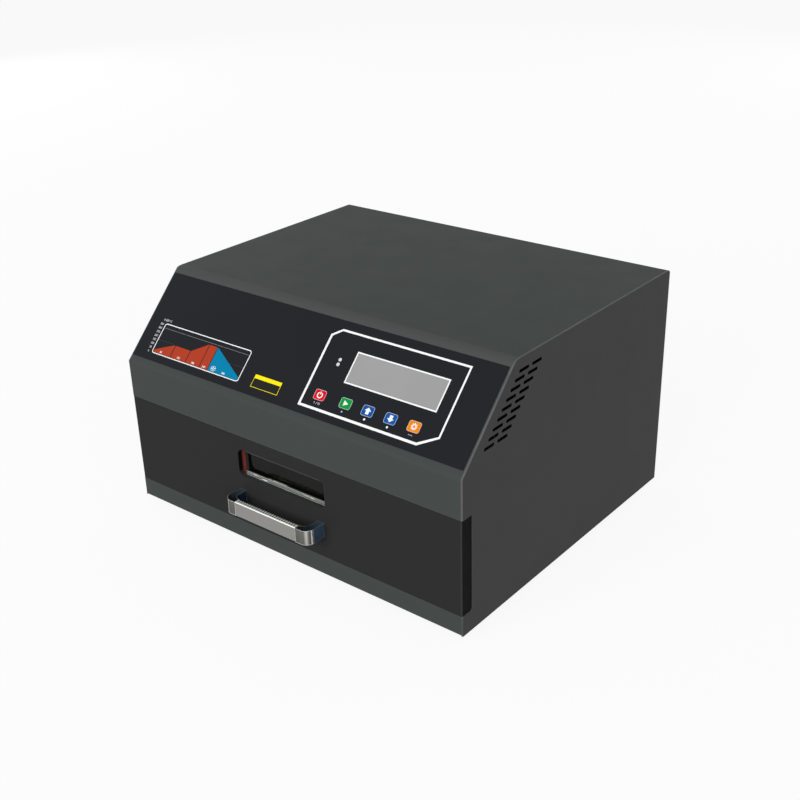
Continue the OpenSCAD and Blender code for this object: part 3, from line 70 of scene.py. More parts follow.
class Tree:
    """A material's node tree, with short calls for the nodes that the finishes share."""

    def __init__(self, name):
        self.mat = bpy.data.materials.new(name)
        self.mat.use_nodes = True
        self.t = self.mat.node_tree
        self.bsdf = self.t.nodes["Principled BSDF"]
        self.coord = self.new("ShaderNodeTexCoord").outputs["Object"]

    def new(self, kind, **inputs):
        n = self.t.nodes.new(kind)
        for key, value in inputs.items():
            self.put(n.inputs[key.replace("_", " ")], value)
        return n

    def put(self, socket, value):
        if isinstance(value, bpy.types.NodeSocket):
            self.t.links.new(value, socket)
        else:
            socket.default_value = value

    def stretch(self, x, y, z):
        n = self.new("ShaderNodeMapping", Vector=self.coord)
        n.inputs["Scale"].default_value = (x, y, z)
        return n.outputs["Vector"]

    def noise(self, scale, detail=3.0, rough=0.55, vector=None):
        return self.new("ShaderNodeTexNoise", Vector=vector or self.coord, Scale=scale,
                        Detail=detail, Roughness=rough).outputs["Fac"]

    def cells(self, scale, vector=None):
        return self.new("ShaderNodeTexVoronoi", Vector=vector or self.coord,
                        Scale=scale).outputs["Distance"]

    def bricks(self, scale, vector, first, second, mortar):
        n = self.new("ShaderNodeTexBrick", Vector=vector, Scale=scale)
        for key, grey in (("Color1", first), ("Color2", second), ("Mortar", mortar)):
            n.inputs[key].default_value = (grey, grey, grey, 1)
        return n.outputs

    def spread(self, value, lo, hi, frm=0.3, to=0.7):
        """Maps frm to lo and to to hi, and clamps beyond them."""
        n = self.new("ShaderNodeMapRange", Value=value)
        for key, v in (("From Min", frm), ("From Max", to), ("To Min", lo), ("To Max", hi)):
            n.inputs[key].default_value = v
        return n.outputs["Result"]

    def math(self, op, a, b=0.5, c=0.0):
        n = self.new("ShaderNodeMath")
        n.operation = op
        for socket, v in zip(n.inputs, (a, b, c)):
            self.put(socket, v)
        return n.outputs["Value"]

    def times(self, first, *others):
        """The product of masks and numbers."""
        for other in others:
            first = self.math("MULTIPLY", first, other)
        return first

    def mix(self, factor, a, b, blend="MIX"):
        n = self.t.nodes.new("ShaderNodeMix")
        n.data_type = "RGBA"
        n.blend_type = blend
        self.put(n.inputs[0], factor)
        self.put(n.inputs[6], a)
        self.put(n.inputs[7], b)
        return n.outputs[2]

    def bump(self, height, strength, distance):
        return self.new("ShaderNodeBump", Height=height, Strength=strength,
                        Distance=distance).outputs["Normal"]

    def edges(self, radius):
        """1 on convex and concave edges within that radius, 0 on flats."""
        bevel = self.new("ShaderNodeBevel", Radius=radius)
        bevel.samples = 4
        dot = self.new("ShaderNodeVectorMath")
        dot.operation = "DOT_PRODUCT"
        self.put(dot.inputs[0], bevel.outputs["Normal"])
        self.put(dot.inputs[1], self.new("ShaderNodeNewGeometry").outputs["Normal"])
        return self.spread(dot.outputs["Value"], 1.0, 0.0, 0.72, 0.985)

    def normal(self, axis):
        """How far a face looks along X, Y or Z."""
        face = self.new("ShaderNodeNewGeometry").outputs["Normal"]
        return self.new("ShaderNodeSeparateXYZ", Vector=face).outputs[axis]

    def place(self, axis):
        """Where a point lies along X, Y or Z in the part's frame, at rest."""
        return self.new("ShaderNodeSeparateXYZ", Vector=self.coord).outputs[axis]

    def over(self, axis, place):
        """1 further along the axis than that place, 0 before it."""
        return self.math("GREATER_THAN", self.place(axis), place)

    def beyond(self, axis, distance):
        """1 further from the middle than that distance, 0 nearer."""
        return self.math("GREATER_THAN", self.math("ABSOLUTE", self.place(axis)), distance)

    def sideways(self, start, full):
        """1 on faces that look to the sides of the oven, 0 on the others."""
        return self.spread(self.math("ABSOLUTE", self.normal("X")), 0.0, 1.0, start, full)

    def frontal(self, start, full):
        """1 on faces that don't look to the sides of the oven, 0 on those that do."""
        return self.spread(self.sideways(start, full), 1.0, 0.0, 0.0, 1.0)

    def ramp(self, value, stops):
        """Colours (sRGB) at places from 0 to 1 of a value."""
        n = self.new("ShaderNodeValToRGB", Fac=value)
        bar = n.color_ramp.elements
        while len(bar) < len(stops):
            bar.new(0.5)
        for element, (where, colour) in zip(bar, stops):
            element.position = where
            element.color = lin(*colour)
        return n.outputs["Color"]

    def set(self, **values):
        for key, value in values.items():
            self.put(self.bsdf.inputs[key.replace("_", " ")], value)
        return self.mat


def lin(r, g, b):
    """sRGB 0-255 to the linear colour of a socket."""
    def one(c):
        c /= 255.0
        return c / 12.92 if c <= 0.04045 else ((c + 0.055) / 1.055) ** 2.4
    return (one(r), one(g), one(b), 1.0)


def scaled(colour, k):
    return tuple(min(1.0, c * k) for c in colour[:3]) + (1.0,)


# ---------------------------------------------------------------- finishes

# A point's distance behind the slope: SLOPE_RISE * Y - SLOPE_RUN * Z + SLOPE_SHIFT
SLOPE_RISE, SLOPE_RUN, SLOPE_SHIFT = 0.7173, 0.6968, 0.206

PEEL = 1500.0                 # scale of the powder coat's orange peel
CREST_Z = 0.205               # the bend between slope and top is above it
FOLD_FADE = (0.022, 0.027)    # heights between which the painted highlight on the side folds fades in to full
SILL_HALF = 0.0012            # half the height of a sill's painted reflection
CHEEK_X = 0.18                # the cheeks are further out
VENT_DEPTH = (0.007, 0.04)    # where the field of slots starts and ends behind the slope
VENT_HEIGHT = (0.178, 0.028)  # its middle, and half its height
GRIP_GROOVE_Z = 0.0578        # the floors of the grip's grooves are below it
# Along Y on the handle: where its painted edge highlights and the painted dark reflection on its top
# start to change, where the highlights have faded and where the painted top has turned pale
FADE_START, EDGES_FADED, TOP_PALE = -0.164, -0.159, -0.149
TRIM_PITCH = 0.0015           # between the painted bright lines of the window's strips
TRIM_LINE_Z = 0.0743          # height of one of them
UPPER_TRIM_Z = 0.084          # the upper strip is above it


def powder_coat(name, colour, edge=1.9, cheek=None, rim=None, sill=None, crest=None,
                vents=False):
    """Fine-texture powder coat: orange peel, faint cloudiness and a painted highlight on its edges.
    edge is how much lighter the painted edge highlight is, cheek the painted shading of the faces
    that look to the sides, another tone of the same paint, rim (distance, colour) where the painted
    highlight along the side folds starts and its colour, sill (height, colour) a painted reflection
    on the upward faces at one height, crest the colour of a painted highlight on the bend between
    slope and top.
    vents paints the walls and rims of the cheeks' slots near black, a painted shade in the holes."""
    t = Tree(name)
    cloud = t.spread(t.noise(6.0, 3.0), 0.0, 1.0)
    speck = t.spread(t.noise(PEEL * 1.6, 2.0, 0.7), 0.0, 1.0)
    base = t.mix(cloud, scaled(colour, 0.985), scaled(colour, 1.015))
    base = t.mix(t.times(speck, 0.3), base, scaled(colour, 1.22))
    # painted highlight: the edges are mixed towards a lighter colour
    base = t.mix(t.times(t.edges(0.0011), 0.5), base, scaled(colour, edge))
    if crest:
        # painted highlight on the bend between slope and top
        forward = t.spread(t.normal("Y"), 1.0, 0.0, -0.16, -0.06)
        base = t.mix(t.times(forward, t.over("Z", CREST_Z)), base, crest)
    if rim:
        distance, tint = rim
        # painted highlight along the side folds, broken up by noise and fading in with height
        fold_highlight_break = t.spread(t.noise(60.0, 4.0), 0.6, 1.0)
        fold = t.times(t.beyond("X", distance), t.frontal(0.9, 0.97))
        base = t.mix(t.times(fold, fold_highlight_break, t.spread(t.place("Z"), 0.3, 1.0, *FOLD_FADE)), base, tint)
    if cheek:
        # painted shading: the faces that look to the sides get another tone of the same paint
        side = t.mix(cloud, scaled(cheek, 0.98), scaled(cheek, 1.02))
        base = t.mix(t.sideways(0.9, 0.97), base, side)
    if sill:
        height, tint = sill
        # painted reflection on the upward faces at one height
        near = t.math("ABSOLUTE", t.math("SUBTRACT", t.place("Z"), height))
        upward = t.spread(t.normal("Z"), 0.0, 1.0, 0.3, 0.8)
        base = t.mix(t.times(t.math("LESS_THAN", near, SILL_HALF), upward), base, tint)
    if vents:
        # painted shade: the walls and rims of the slots are painted near black
        inward = t.math("MULTIPLY_ADD", t.place("Y"), SLOPE_RISE, SLOPE_SHIFT)
        inward = t.math("MULTIPLY_ADD", t.place("Z"), -SLOPE_RUN, inward)
        field = t.times(t.math("GREATER_THAN", inward, VENT_DEPTH[0]),
                       t.math("LESS_THAN", inward, VENT_DEPTH[1]),
                       t.math("COMPARE", t.place("Z"), *VENT_HEIGHT),
                       t.beyond("X", CHEEK_X))
        cut = t.math("MAXIMUM", t.frontal(0.8, 0.95),
                     t.spread(t.edges(0.0012), 0.0, 1.0, 0.2, 0.7))
        base = t.mix(t.times(field, cut), base, lin(5, 5, 5))
    peel = t.math("ADD", t.noise(PEEL, 3.0, 0.6), t.times(t.noise(PEEL * 0.25, 2.0), 0.6))
    return t.set(Base_Color=base, Roughness=t.spread(t.noise(40.0), 0.44, 0.52),
                 Normal=t.bump(peel, 0.22, 0.00006), Specular_IOR_Level=0.02)


def sheet_metal(name, colour, rough=(0.28, 0.42), along=(6.0, 260.0, 260.0), metallic=1.0,
                spangle=0.0):
    """Rolled or brushed metal: long fine streaks and smudges. spangle is
    the scale of the zinc's flakes."""
    t = Tree(name)
    streak = t.noise(14.0, 4.0, 0.65, t.stretch(*along))
    smudge = t.noise(22.0, 5.0, 0.6)
    base = t.mix(t.spread(streak, 0.0, 1.0), scaled(colour, 0.88), scaled(colour, 1.08))
    base = t.mix(t.spread(smudge, 0.0, 0.35, 0.45, 0.75), base, scaled(colour, 0.8))
    if spangle:
        flake = t.new("ShaderNodeTexVoronoi", Vector=t.coord, Scale=spangle).outputs["Color"]
        grey = t.new("ShaderNodeRGBToBW", Color=flake).outputs["Val"]
        base = t.mix(t.spread(grey, 0.0, 0.4, 0.2, 0.8), base, scaled(colour, 0.7))
    return t.set(Base_Color=base, Metallic=metallic, Roughness=t.spread(smudge, *rough),
                 Normal=t.bump(streak, 0.12, 0.00003))


def polished(name, colour, rough):
    """Bright plating with faint wipe marks."""
    t = Tree(name)
    wipe = t.noise(35.0, 6.0, 0.6, t.stretch(1.0, 1.0, 3.0))
    fine = t.noise(900.0, 2.0, 0.6, t.stretch(1.0, 1.0, 0.12))
    base = t.mix(t.spread(wipe, 0.0, 1.0), scaled(colour, 0.93), scaled(colour, 1.05))
    return t.set(Base_Color=base, Metallic=1.0, Roughness=t.spread(wipe, *rough),
                 Normal=t.bump(fine, 0.06, 0.00002))


def handle_chrome():
    """Chromed die casting with painted reflections in its colour: a bright streak down its round
    corner, a bright line before the flank, dusky blue on top and on the flanks."""
    t = Tree("handle_chrome")
    turn = t.spread(t.normal("X"), 0.0, 1.0, -1.0, 1.0)
    # painted reflections across the front by how far the faces turn along X: dusky flank, steel
    # grey, dark bands, a bright streak and a bright line
    dusk, steel, dark = (60, 80, 100), (105, 105, 100), (75, 70, 65)
    streak, line = (190, 190, 185), (250, 250, 250)
    front = t.ramp(turn, ((0.001, dusk), (0.02, steel), (0.36, steel), (0.45, dark), (0.52, steel),
                          (0.7, steel), (0.82, streak), (0.9, steel), (0.962, dark), (0.978, line),
                          (0.996, line), (0.999, dusk)))
    # painted shade, darker towards the bottom
    shade = t.spread(t.place("Z"), 0.86, 1.1, 0.045, 0.058)
    shade = t.new("ShaderNodeCombineColor", Red=shade, Green=shade, Blue=shade).outputs["Color"]
    front = t.mix(1.0, front, shade, "MULTIPLY")
    # painted reflection on the top: dark near the front, pale dusky blue further back
    back = t.spread(t.place("Y"), 0.0, 1.0, FADE_START, TOP_PALE)
    top = t.mix(back, lin(16, 22, 26), lin(66, 82, 96))
    above = t.spread(t.normal("Z"), 0.0, 1.0, 0.5, 0.8)
    behind = t.spread(t.normal("Y"), 0.0, 1.0, 0.2, 0.5)
    # painted dark reflection on the inner faces of the left bracket and on the faces that look back
    hidden = t.times(t.math("LESS_THAN", t.place("X"), 0.0),
                    t.math("GREATER_THAN", t.normal("X"), 0.9))
    front = t.mix(hidden, front, lin(30, 42, 56))
    base = t.mix(above, front, top)
    base = t.mix(behind, base, lin(30, 38, 46))
    # painted highlights on the front edges, fading further back
    ahead = t.spread(t.place("Y"), 1.0, 0.2, FADE_START, EDGES_FADED)
    base = t.mix(t.times(t.edges(0.0011), ahead), base, lin(240, 244, 244))
    dusky = t.math("MAXIMUM", t.math("MAXIMUM", above, behind), t.sideways(0.996, 0.999))
    wipe = t.noise(35.0, 6.0, 0.6, t.stretch(1.0, 1.0, 3.0))
    return t.set(Base_Color=base, Metallic=t.spread(dusky, 0.9, 0.25, 0.0, 1.0),
                 Roughness=t.spread(wipe, 0.16, 0.26), Normal=t.bump(wipe, 0.04, 0.00004))


def moulded(name, colour, rough=(0.36, 0.5), grain=2200.0, coat=0.0, gloss=0.35):
    """Injection-moulded plastic: spark-eroded grain, faint flow marks."""
    t = Tree(name)
    flow = t.noise(28.0, 3.0, 0.5, t.stretch(1.0, 1.0, 2.4))
    base = t.mix(t.spread(flow, 0.0, 1.0), scaled(colour, 0.9), scaled(colour, 1.12))
    # painted highlight: the edges are mixed towards a lighter colour
    base = t.mix(t.times(t.edges(0.0005), 0.5), base, scaled(colour, 1.5))
    return t.set(Base_Color=base, Roughness=t.spread(flow, *rough), Coat_Weight=coat,
                 Coat_Roughness=0.12, Normal=t.bump(t.cells(grain), 0.14, 0.00005),
                 Specular_IOR_Level=gloss)


def rubber(name, colour, wall=None):
    """Matte rubber with fine dust in its pores. wall is the painted shading of the faces that look
    sideways, another tone of the same rubber."""
    t = Tree(name)
    dust = t.spread(t.noise(160.0, 6.0, 0.7), 0.0, 0.5, 0.5, 0.8)
    base = t.mix(dust, colour, scaled(colour, 2.1))
    if wall:
        # painted shading on the faces that look sideways
        base = t.mix(t.sideways(0.5, 0.8), base, wall)
    return t.set(Base_Color=base, Roughness=t.spread(t.noise(50.0), 0.68, 0.84),
                 Normal=t.bump(t.noise(2600.0, 3.0), 0.25, 0.00006), Specular_IOR_Level=0.3)


def fibre(name, colour):
    """Needled wool: long tangled fibres and shot."""
    t = Tree(name)
    web = t.noise(420.0, 8.0, 0.75, t.stretch(1.0, 1.0, 4.0))
    lump = t.noise(46.0, 4.0)
    base = t.mix(t.spread(web, 0.0, 1.0, 0.35, 0.65), scaled(colour, 0.72), scaled(colour, 1.15))
    return t.set(Base_Color=base, Roughness=0.95, Sheen_Weight=0.15,
                 Normal=t.bump(t.math("ADD", web, lump), 0.8, 0.0006))


def clear(name, tint, rough, ior, gloss=0.5, lean=None):
    """Glass or clear plastic, with wipe marks in its gloss. lean (x0, x1, shade) darkens it towards
    x0, a painted shade."""
    t = Tree(name)
    smear = t.noise(18.0, 5.0, 0.6, t.stretch(1.0, 1.0, 2.5))
    base = t.mix(t.spread(smear, 0.0, 1.0, 0.4, 0.6), scaled(tint, 0.86), tint)
    if lean:
        x0, x1, shade = lean
        # painted shade, darker towards x0
        base = t.mix(t.spread(t.place("X"), 0.0, 1.0, x0, x1), scaled(tint, shade), base)
    return t.set(Base_Color=base, Roughness=t.spread(smear, rough, rough + 0.05),
                 Transmission_Weight=0.92, IOR=ior, Specular_IOR_Level=gloss)


def circuit_board(name, colour):
    """Solder-masked laminate: glass weave under it and tracks that stand up a little."""
    t = Tree(name)
    weave = t.bricks(650.0, t.coord, 1, 0.6, 0)["Fac"]
    track = t.spread(t.cells(230.0, t.stretch(1.0, 0.35, 1.0)), 0.0, 1.0, 0.42, 0.5)
    base = t.mix(track, colour, scaled(colour, 1.8))
    base = t.mix(t.times(weave, 0.2), base, scaled(colour, 0.7))
    return t.set(Base_Color=base, Roughness=t.spread(t.noise(60.0), 0.25, 0.4),
                 Normal=t.bump(track, 0.3, 0.00005), Coat_Weight=0.3, Coat_Roughness=0.15)


def printed(name, colour):
    """Screen ink: slight mottling and a finely broken surface."""
    t = Tree(name)
    mottle = t.spread(t.noise(700.0, 4.0, 0.7), 0.0, 1.0)
    base = t.mix(mottle, scaled(colour, 0.95), scaled(colour, 1.03))
    return t.set(Base_Color=base, Roughness=t.spread(t.noise(120.0), 0.4, 0.51),
                 Normal=t.bump(t.noise(3000.0, 2.0), 0.08, 0.00003), Specular_IOR_Level=0.05)


def overlay_film():
    """Printed polycarbonate film with a velvet texture."""
    t = Tree("overlay_film")
    colour = lin(29, 31, 35)
    cloud = t.spread(t.noise(5.0, 2.0), 0.0, 1.0)
    base = t.mix(cloud, scaled(colour, 0.95), scaled(colour, 1.05))
    return t.set(Base_Color=base, Roughness=t.spread(t.noise(30.0), 0.42, 0.48),
                 Normal=t.bump(t.cells(2800.0), 0.12, 0.00003), Specular_IOR_Level=0.05)


def display_lens():
    """Unlit grey display: faint dot grid behind a wiped window."""
    t = Tree("display_lens")
    colour = lin(148, 148, 148)
    grid = t.bricks(900.0, t.coord, 1, 0.9, 0.7)["Color"]
    cloud = t.spread(t.noise(11.0, 2.0), 0.0, 1.0)
    base = t.mix(cloud, scaled(colour, 0.97), scaled(colour, 1.03))
    base = t.mix(0.06, base, grid, "MULTIPLY")
    return t.set(Base_Color=base, Roughness=t.spread(t.noise(25.0), 0.3, 0.38),
                 Specular_IOR_Level=0.4, Normal=t.bump(t.noise(50.0), 0.02, 0.00005))


def grip_metal():
    """Satin anodised bar: die lines along it, its top painted lighter with painted shade in its
    grooves, and painted highlights where its front turns to the top and bottom and on its ends.
    """
    t = Tree("grip_aluminium")
    colour = lin(136, 134, 131)
    lines = t.noise(30.0, 5.0, 0.7, t.stretch(2.0, 240.0, 240.0))
    blast = t.noise(2400.0, 3.0, 0.6)
    base = t.mix(t.spread(lines, 0.0, 1.0), scaled(colour, 0.94), scaled(colour, 1.05))
    # painted light: the top is lighter, with painted shade on the floors of its grooves
    top = t.spread(t.normal("Z"), 0.0, 1.0, 0.6, 0.9)
    groove = t.math("LESS_THAN", t.place("Z"), GRIP_GROOVE_Z)
    base = t.mix(top, base, t.mix(groove, lin(200, 202, 194), lin(56, 57, 55)))
    # painted highlights where the front turns to the top, a dimmer one where it turns to the bottom
    corner = t.times(t.normal("Z"), t.times(t.normal("Y"), -1.0))
    base = t.mix(t.spread(corner, 0.0, 1.0, 0.1, 0.3), base, lin(250, 252, 250))
    base = t.mix(t.spread(corner, 0.0, 0.45, -0.1, -0.3), base, lin(190, 190, 186))
    # painted highlight on the edges of its ends
    ends = t.times(t.edges(0.0006), t.spread(t.sideways(0.1, 0.5), 1.0, 0.3, 0.0, 1.0))
    base = t.mix(t.times(ends, 0.5), base, lin(206, 206, 202))
    return t.set(Base_Color=base, Metallic=t.spread(top, 0.35, 0.05, 0.0, 1.0),
                 Roughness=t.spread(lines, 0.34, 0.46), Specular_IOR_Level=0.3,
                 Normal=t.bump(t.math("ADD", lines, blast), 0.1, 0.00003))


def trim_metal():
    """Bright drawn strips: fine scratches, and painted highlights in bright lines along them and a
    few glints. The upper one is painted dark and not metallic, a painted shade of the hole's edge."""
    t = Tree("window_trim_metal")
    # painted highlights: bright lines along the strips at one pitch
    wave = t.math("SINE", t.math("MULTIPLY_ADD", t.place("Z"), 2 * math.pi / TRIM_PITCH,
                                 math.pi / 2 - 2 * math.pi * TRIM_LINE_Z / TRIM_PITCH))
    lines = t.noise(1.0, 2.0, 0.5, t.stretch(4.0, 900.0, 1500.0))
    # painted glints
    glint = t.noise(1.0, 3.0, 0.6, t.stretch(60.0, 1.0, 420.0))
    base = t.mix(t.spread(wave, 0.0, 1.0, -0.3, 0.6), lin(66, 70, 70), lin(206, 208, 204))
    base = t.mix(t.spread(lines, 0.0, 0.4, 0.35, 0.65), base, lin(120, 122, 120))
    base = t.mix(t.spread(glint, 0.0, 1.0, 0.58, 0.64), base, lin(236, 238, 226))
    # painted shade on the upper strip
    shaded = t.over("Z", UPPER_TRIM_Z)
    base = t.mix(shaded, base, lin(20, 20, 19))
    return t.set(Base_Color=base, Metallic=t.spread(shaded, 0.5, 0.0, 0.0, 1.0),
                 Roughness=t.spread(lines, 0.28, 0.42), Normal=t.bump(lines, 0.12, 0.00003))


def key_cap(name, colour):
    return moulded(name, colour, (0.32, 0.42), 2600.0, gloss=0.06)


finishes = {
    # painted shading on the sides, painted highlights along the folds and on the bend, painted shade
    # in the slots
    "cover_paint": powder_coat("cover_paint", lin(65, 70, 68), cheek=lin(71, 71, 71),
                               rim=(0.1838, lin(100, 102, 102)), crest=lin(75, 78, 77),
                               vents=True),
    # painted dark shade on the side flanges, painted highlight along the folds, painted reflection
    # on the sill
    "drawer_paint": powder_coat("drawer_paint", lin(43, 43, 43), edge=1.7, cheek=lin(14, 14, 14),
                                rim=(0.1834, lin(58, 58, 58)), sill=(0.0706, lin(52, 55, 55))),
    "panel_paint": powder_coat("panel_paint", lin(60, 63, 62)),
    "zinc_steel": sheet_metal("zinc_steel", lin(178, 181, 180), (0.34, 0.5), spangle=160.0),
    "bright_steel": sheet_metal("bright_steel", lin(205, 207, 208), (0.2, 0.34), metallic=0.85),
    "handle_chrome": handle_chrome(),
    "grip_aluminium": grip_metal(),
    "dark_screws": sheet_metal("dark_screws", lin(52, 52, 54), (0.4, 0.55)),
    "zinc_screws": sheet_metal("zinc_screws", lin(176, 178, 176), (0.3, 0.45)),
    "foot_rubber": rubber("foot_rubber", lin(28, 28, 28)),
    "wool": fibre("wool", lin(214, 208, 194)),
    "dark_wool": fibre("dark_wool", lin(112, 108, 104)),
    "quartz": clear("quartz", lin(240, 243, 243), 0.02, 1.46),
    "filament": sheet_metal("filament", lin(150, 112, 82), (0.4, 0.6), (400.0, 400.0, 400.0)),
    "ceramic_white": moulded("ceramic_white", lin(233, 230, 222), (0.5, 0.66), 900.0),
    "fan_plastic": moulded("fan_plastic", lin(32, 33, 34)),
    "overlay_film": overlay_film(),
    "display_lens": display_lens(),
    "display_metal": sheet_metal("display_metal", lin(150, 154, 156), (0.3, 0.45)),
    "board_green": circuit_board("board_green", lin(24, 88, 50)),
    "part_black": moulded("part_black", lin(44, 45, 47), (0.3, 0.45)),
    "led_lens": moulded("led_lens", lin(208, 209, 209), (0.16, 0.25), 1200.0, coat=0.4),
    "key_red": key_cap("key_red", lin(204, 16, 34)),
    "key_green": key_cap("key_green", lin(18, 140, 62)),
    "key_blue": key_cap("key_blue", lin(14, 78, 152)),
    "key_orange": key_cap("key_orange", lin(226, 128, 12)),
    "brass_posts": sheet_metal("brass_posts", lin(200, 176, 106), (0.25, 0.4)),
    "laminated_steel": sheet_metal("laminated_steel", lin(92, 95, 98), (0.4, 0.55),
                                   (2.0, 2000.0, 2.0)),
    "coil_wrap": moulded("coil_wrap", lin(196, 164, 92), (0.2, 0.32), 700.0, coat=0.3),
    "sink_aluminium": sheet_metal("sink_aluminium", lin(150, 153, 156), (0.3, 0.45),
                                  (260.0, 260.0, 4.0)),
    "ribbon_grey": moulded("ribbon_grey", lin(142, 145, 150), (0.4, 0.5), 1500.0),
    "inlet_black": moulded("inlet_black", lin(26, 26, 27), (0.4, 0.52), 1600.0),
    "pin_nickel": polished("pin_nickel", lin(203, 203, 200), (0.12, 0.24)),
    # glass with a painted shade, darker towards the left
    "window_clear": clear("window_clear", lin(57, 58, 54), 0.04, 1.2, 0.12, (-0.05, 0.02, 0.5)),
    # seal with painted shading on its sideways faces
    "seal_red": rubber("seal_red", lin(86, 24, 18), wall=lin(58, 54, 50)),
    "seal_dark": rubber("seal_dark", lin(62, 60, 58)),
}

own = {"window_trim": trim_metal()}     # nodes with a finish of their own

for part in frame["record"]["subparts"]:
    node = nodes[part["node"]]
    node.data.materials.clear()
    node.data.materials.append(own.get(part["node"]) or finishes[part["material_slot"]])

inks = {
    "white": printed("ink_white", lin(240, 241, 241)),
    "soft": printed("ink_soft", lin(196, 198, 199)),
    "grey": printed("ink_grey", lin(118, 121, 123)),
    "dim": printed("ink_dim", lin(62, 64, 67)),
    "ember": printed("ink_ember", lin(170, 60, 36)),
    "sky": printed("ink_sky", lin(0, 124, 166)),
    "yellow": printed("ink_yellow", lin(250, 228, 20)),
    "pitch": printed("ink_pitch", lin(34, 35, 32)),
}


# ---------------------------------------------------------------- printed artwork

# Heights of the inks above the face that they are printed on
INK_FOOT, FIELD_INK, RIM_INK, SIGN_INK, GROUND_INK, BAR_INK = 0.005, 0.02, 0.03, 0.04, 0.05, 0.07
SWELL = 0.02          # how much wider the figures' strokes are, as a share of their size


def stroke(points, width, closed=False):
    """A line of one width along points, as quads with mitred corners."""
    pts = [Vector(p) for p in points]
    n = len(pts)
    sides = []
    for i, p in enumerate(pts):
        before = pts[(i - 1) % n] if closed or i else None
        after = pts[(i + 1) % n] if closed or i < n - 1 else None
        a = (p - before).normalized() if before else (after - p).normalized()
        b = (after - p).normalized() if after else a
        mid = (a + b).normalized()
        reach = width / 2 / max(0.35, mid.dot(a))
        normal = Vector((-mid.y, mid.x)) * reach
        sides.append((p + normal, p - normal))
    spans = [(sides[i], sides[(i + 1) % n]) for i in range(n if closed else n - 1)]
    return [[start[0], end[0], end[1], start[1]] for start, end in spans]


def arc(cx, cy, r, start, stop, steps=24):
    angles = [math.radians(start + (stop - start) * i / steps) for i in range(steps + 1)]
    return [(cx + r * math.cos(a), cy + r * math.sin(a)) for a in angles]


def disc(cx, cy, r, steps=28):
    return arc(cx, cy, r, 0, 360 - 360 / steps, steps - 1)


def soft_rect(x0, v0, x1, v1, r, steps=8):
    return (arc(x1 - r, v1 - r, r, 0, 90, steps) + arc(x0 + r, v1 - r, r, 90, 180, steps)
            + arc(x0 + r, v0 + r, r, 180, 270, steps) + arc(x1 - r, v0 + r, r, 270, 360, steps))


def spokes(count, turn, outline):
    """An outline of (radius, angle) points, repeated round a centre."""
    return [[(r * math.cos(a + b), r * math.sin(a + b)) for r, b in outline]
            for a in (2 * math.pi * k / count + turn for k in range(count))]


def moved(shapes, x, v, flatter=1.0):
    return [[(x + p[0], v + flatter * p[1]) for p in shape] for shape in shapes]


def left(x):
    """A distance from the casing's left edge, centred."""
    return x - HALF_WIDTH


def from_left(*points):
    return [(left(x), v) for x, v in points]


def finish_print(name, bm, colour, body):
    """Turns a mesh into a piece in that ink."""
    mesh = bpy.data.meshes.new(name)
    bm.to_mesh(mesh)
    bm.free()
    mesh.materials.append(inks[colour])
    piece = bpy.data.objects.new(name, mesh)
    bpy.context.collection.objects.link(piece)
    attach(piece, body)


def ink(name, shapes, colour, lift=SIGN_INK, base=OVERLAY_T, body="casing"):
    """Flat printed shapes on the sloping panel, a few hundredths of a millimetre thick."""
    bm = bmesh.new()
    for shape in shapes:
        if sum(a[0] * b[1] - b[0] * a[1] for a, b in zip(shape, shape[1:] + shape[:1])) < 0:
            shape = shape[::-1]
        top = [bm.verts.new(slope_point(p[0], p[1], base + lift)) for p in shape]
        low = [bm.verts.new(slope_point(p[0], p[1], base + INK_FOOT)) for p in shape]
        bm.faces.new(top)
        for i in range(len(shape)):
            j = (i + 1) % len(shape)
            bm.faces.new((low[i], low[j], top[j], top[i]))
    finish_print(name, bm, colour, body)


def figures(name, labels, colour, size):
    """Plain numbers and a unit on the overlay, each (text, x, v) centred on its place."""
    bm = bmesh.new()
    for text, x, v in labels:
        curve = bpy.data.curves.new("figure", "FONT")
        curve.body = text
        curve.size = size
        curve.align_x = "CENTER"
        curve.align_y = "CENTER"
        curve.resolution_u = 3
        curve.offset = SWELL * size
        holder = bpy.data.objects.new("figure", curve)
        bpy.context.collection.objects.link(holder)
        start = len(bm.verts)
        bm.from_mesh(holder.to_mesh())
        bm.verts.ensure_lookup_table()
        for vert in bm.verts[start:]:
            vert.co = slope_point(x + vert.co.x, v + vert.co.y, OVERLAY_T + SIGN_INK)
        holder.to_mesh_clear()
        bpy.data.objects.remove(holder)
        bpy.data.curves.remove(curve)
    finish_print(name, bm, colour, "casing")


# ---------------------------------------------------------------- heating curve

CHART_FLOOR = 14.9            # underside of the fields below the curve
GUIDE_X = (24.0, 130.2)       # ends of the guide line
GUIDE_V, LEVEL_V = 38.5, 26.9
STEP_V, STEP_SIZE = 16.6, 2.6           # numbers in the fields
SCALE_X, SCALE_TOP, SCALE_PITCH, SCALE_SIZE = 18.4, 41.4, 3.86, 2.8
UNIT_PLACE = (23.6, 45.7)
FAN_PLACE, FAN_FLATTER = (99.8, 17.9), 0.75


def level(x0, x1, v, width):
    return stroke(from_left((x0, v), (x1, v)), width)


def under_curve(*curve):
    """The field between a stretch of the curve, given from right to left, and the floor."""
    return from_left((curve[-1][0], CHART_FLOOR), (curve[0][0], CHART_FLOOR), *curve)


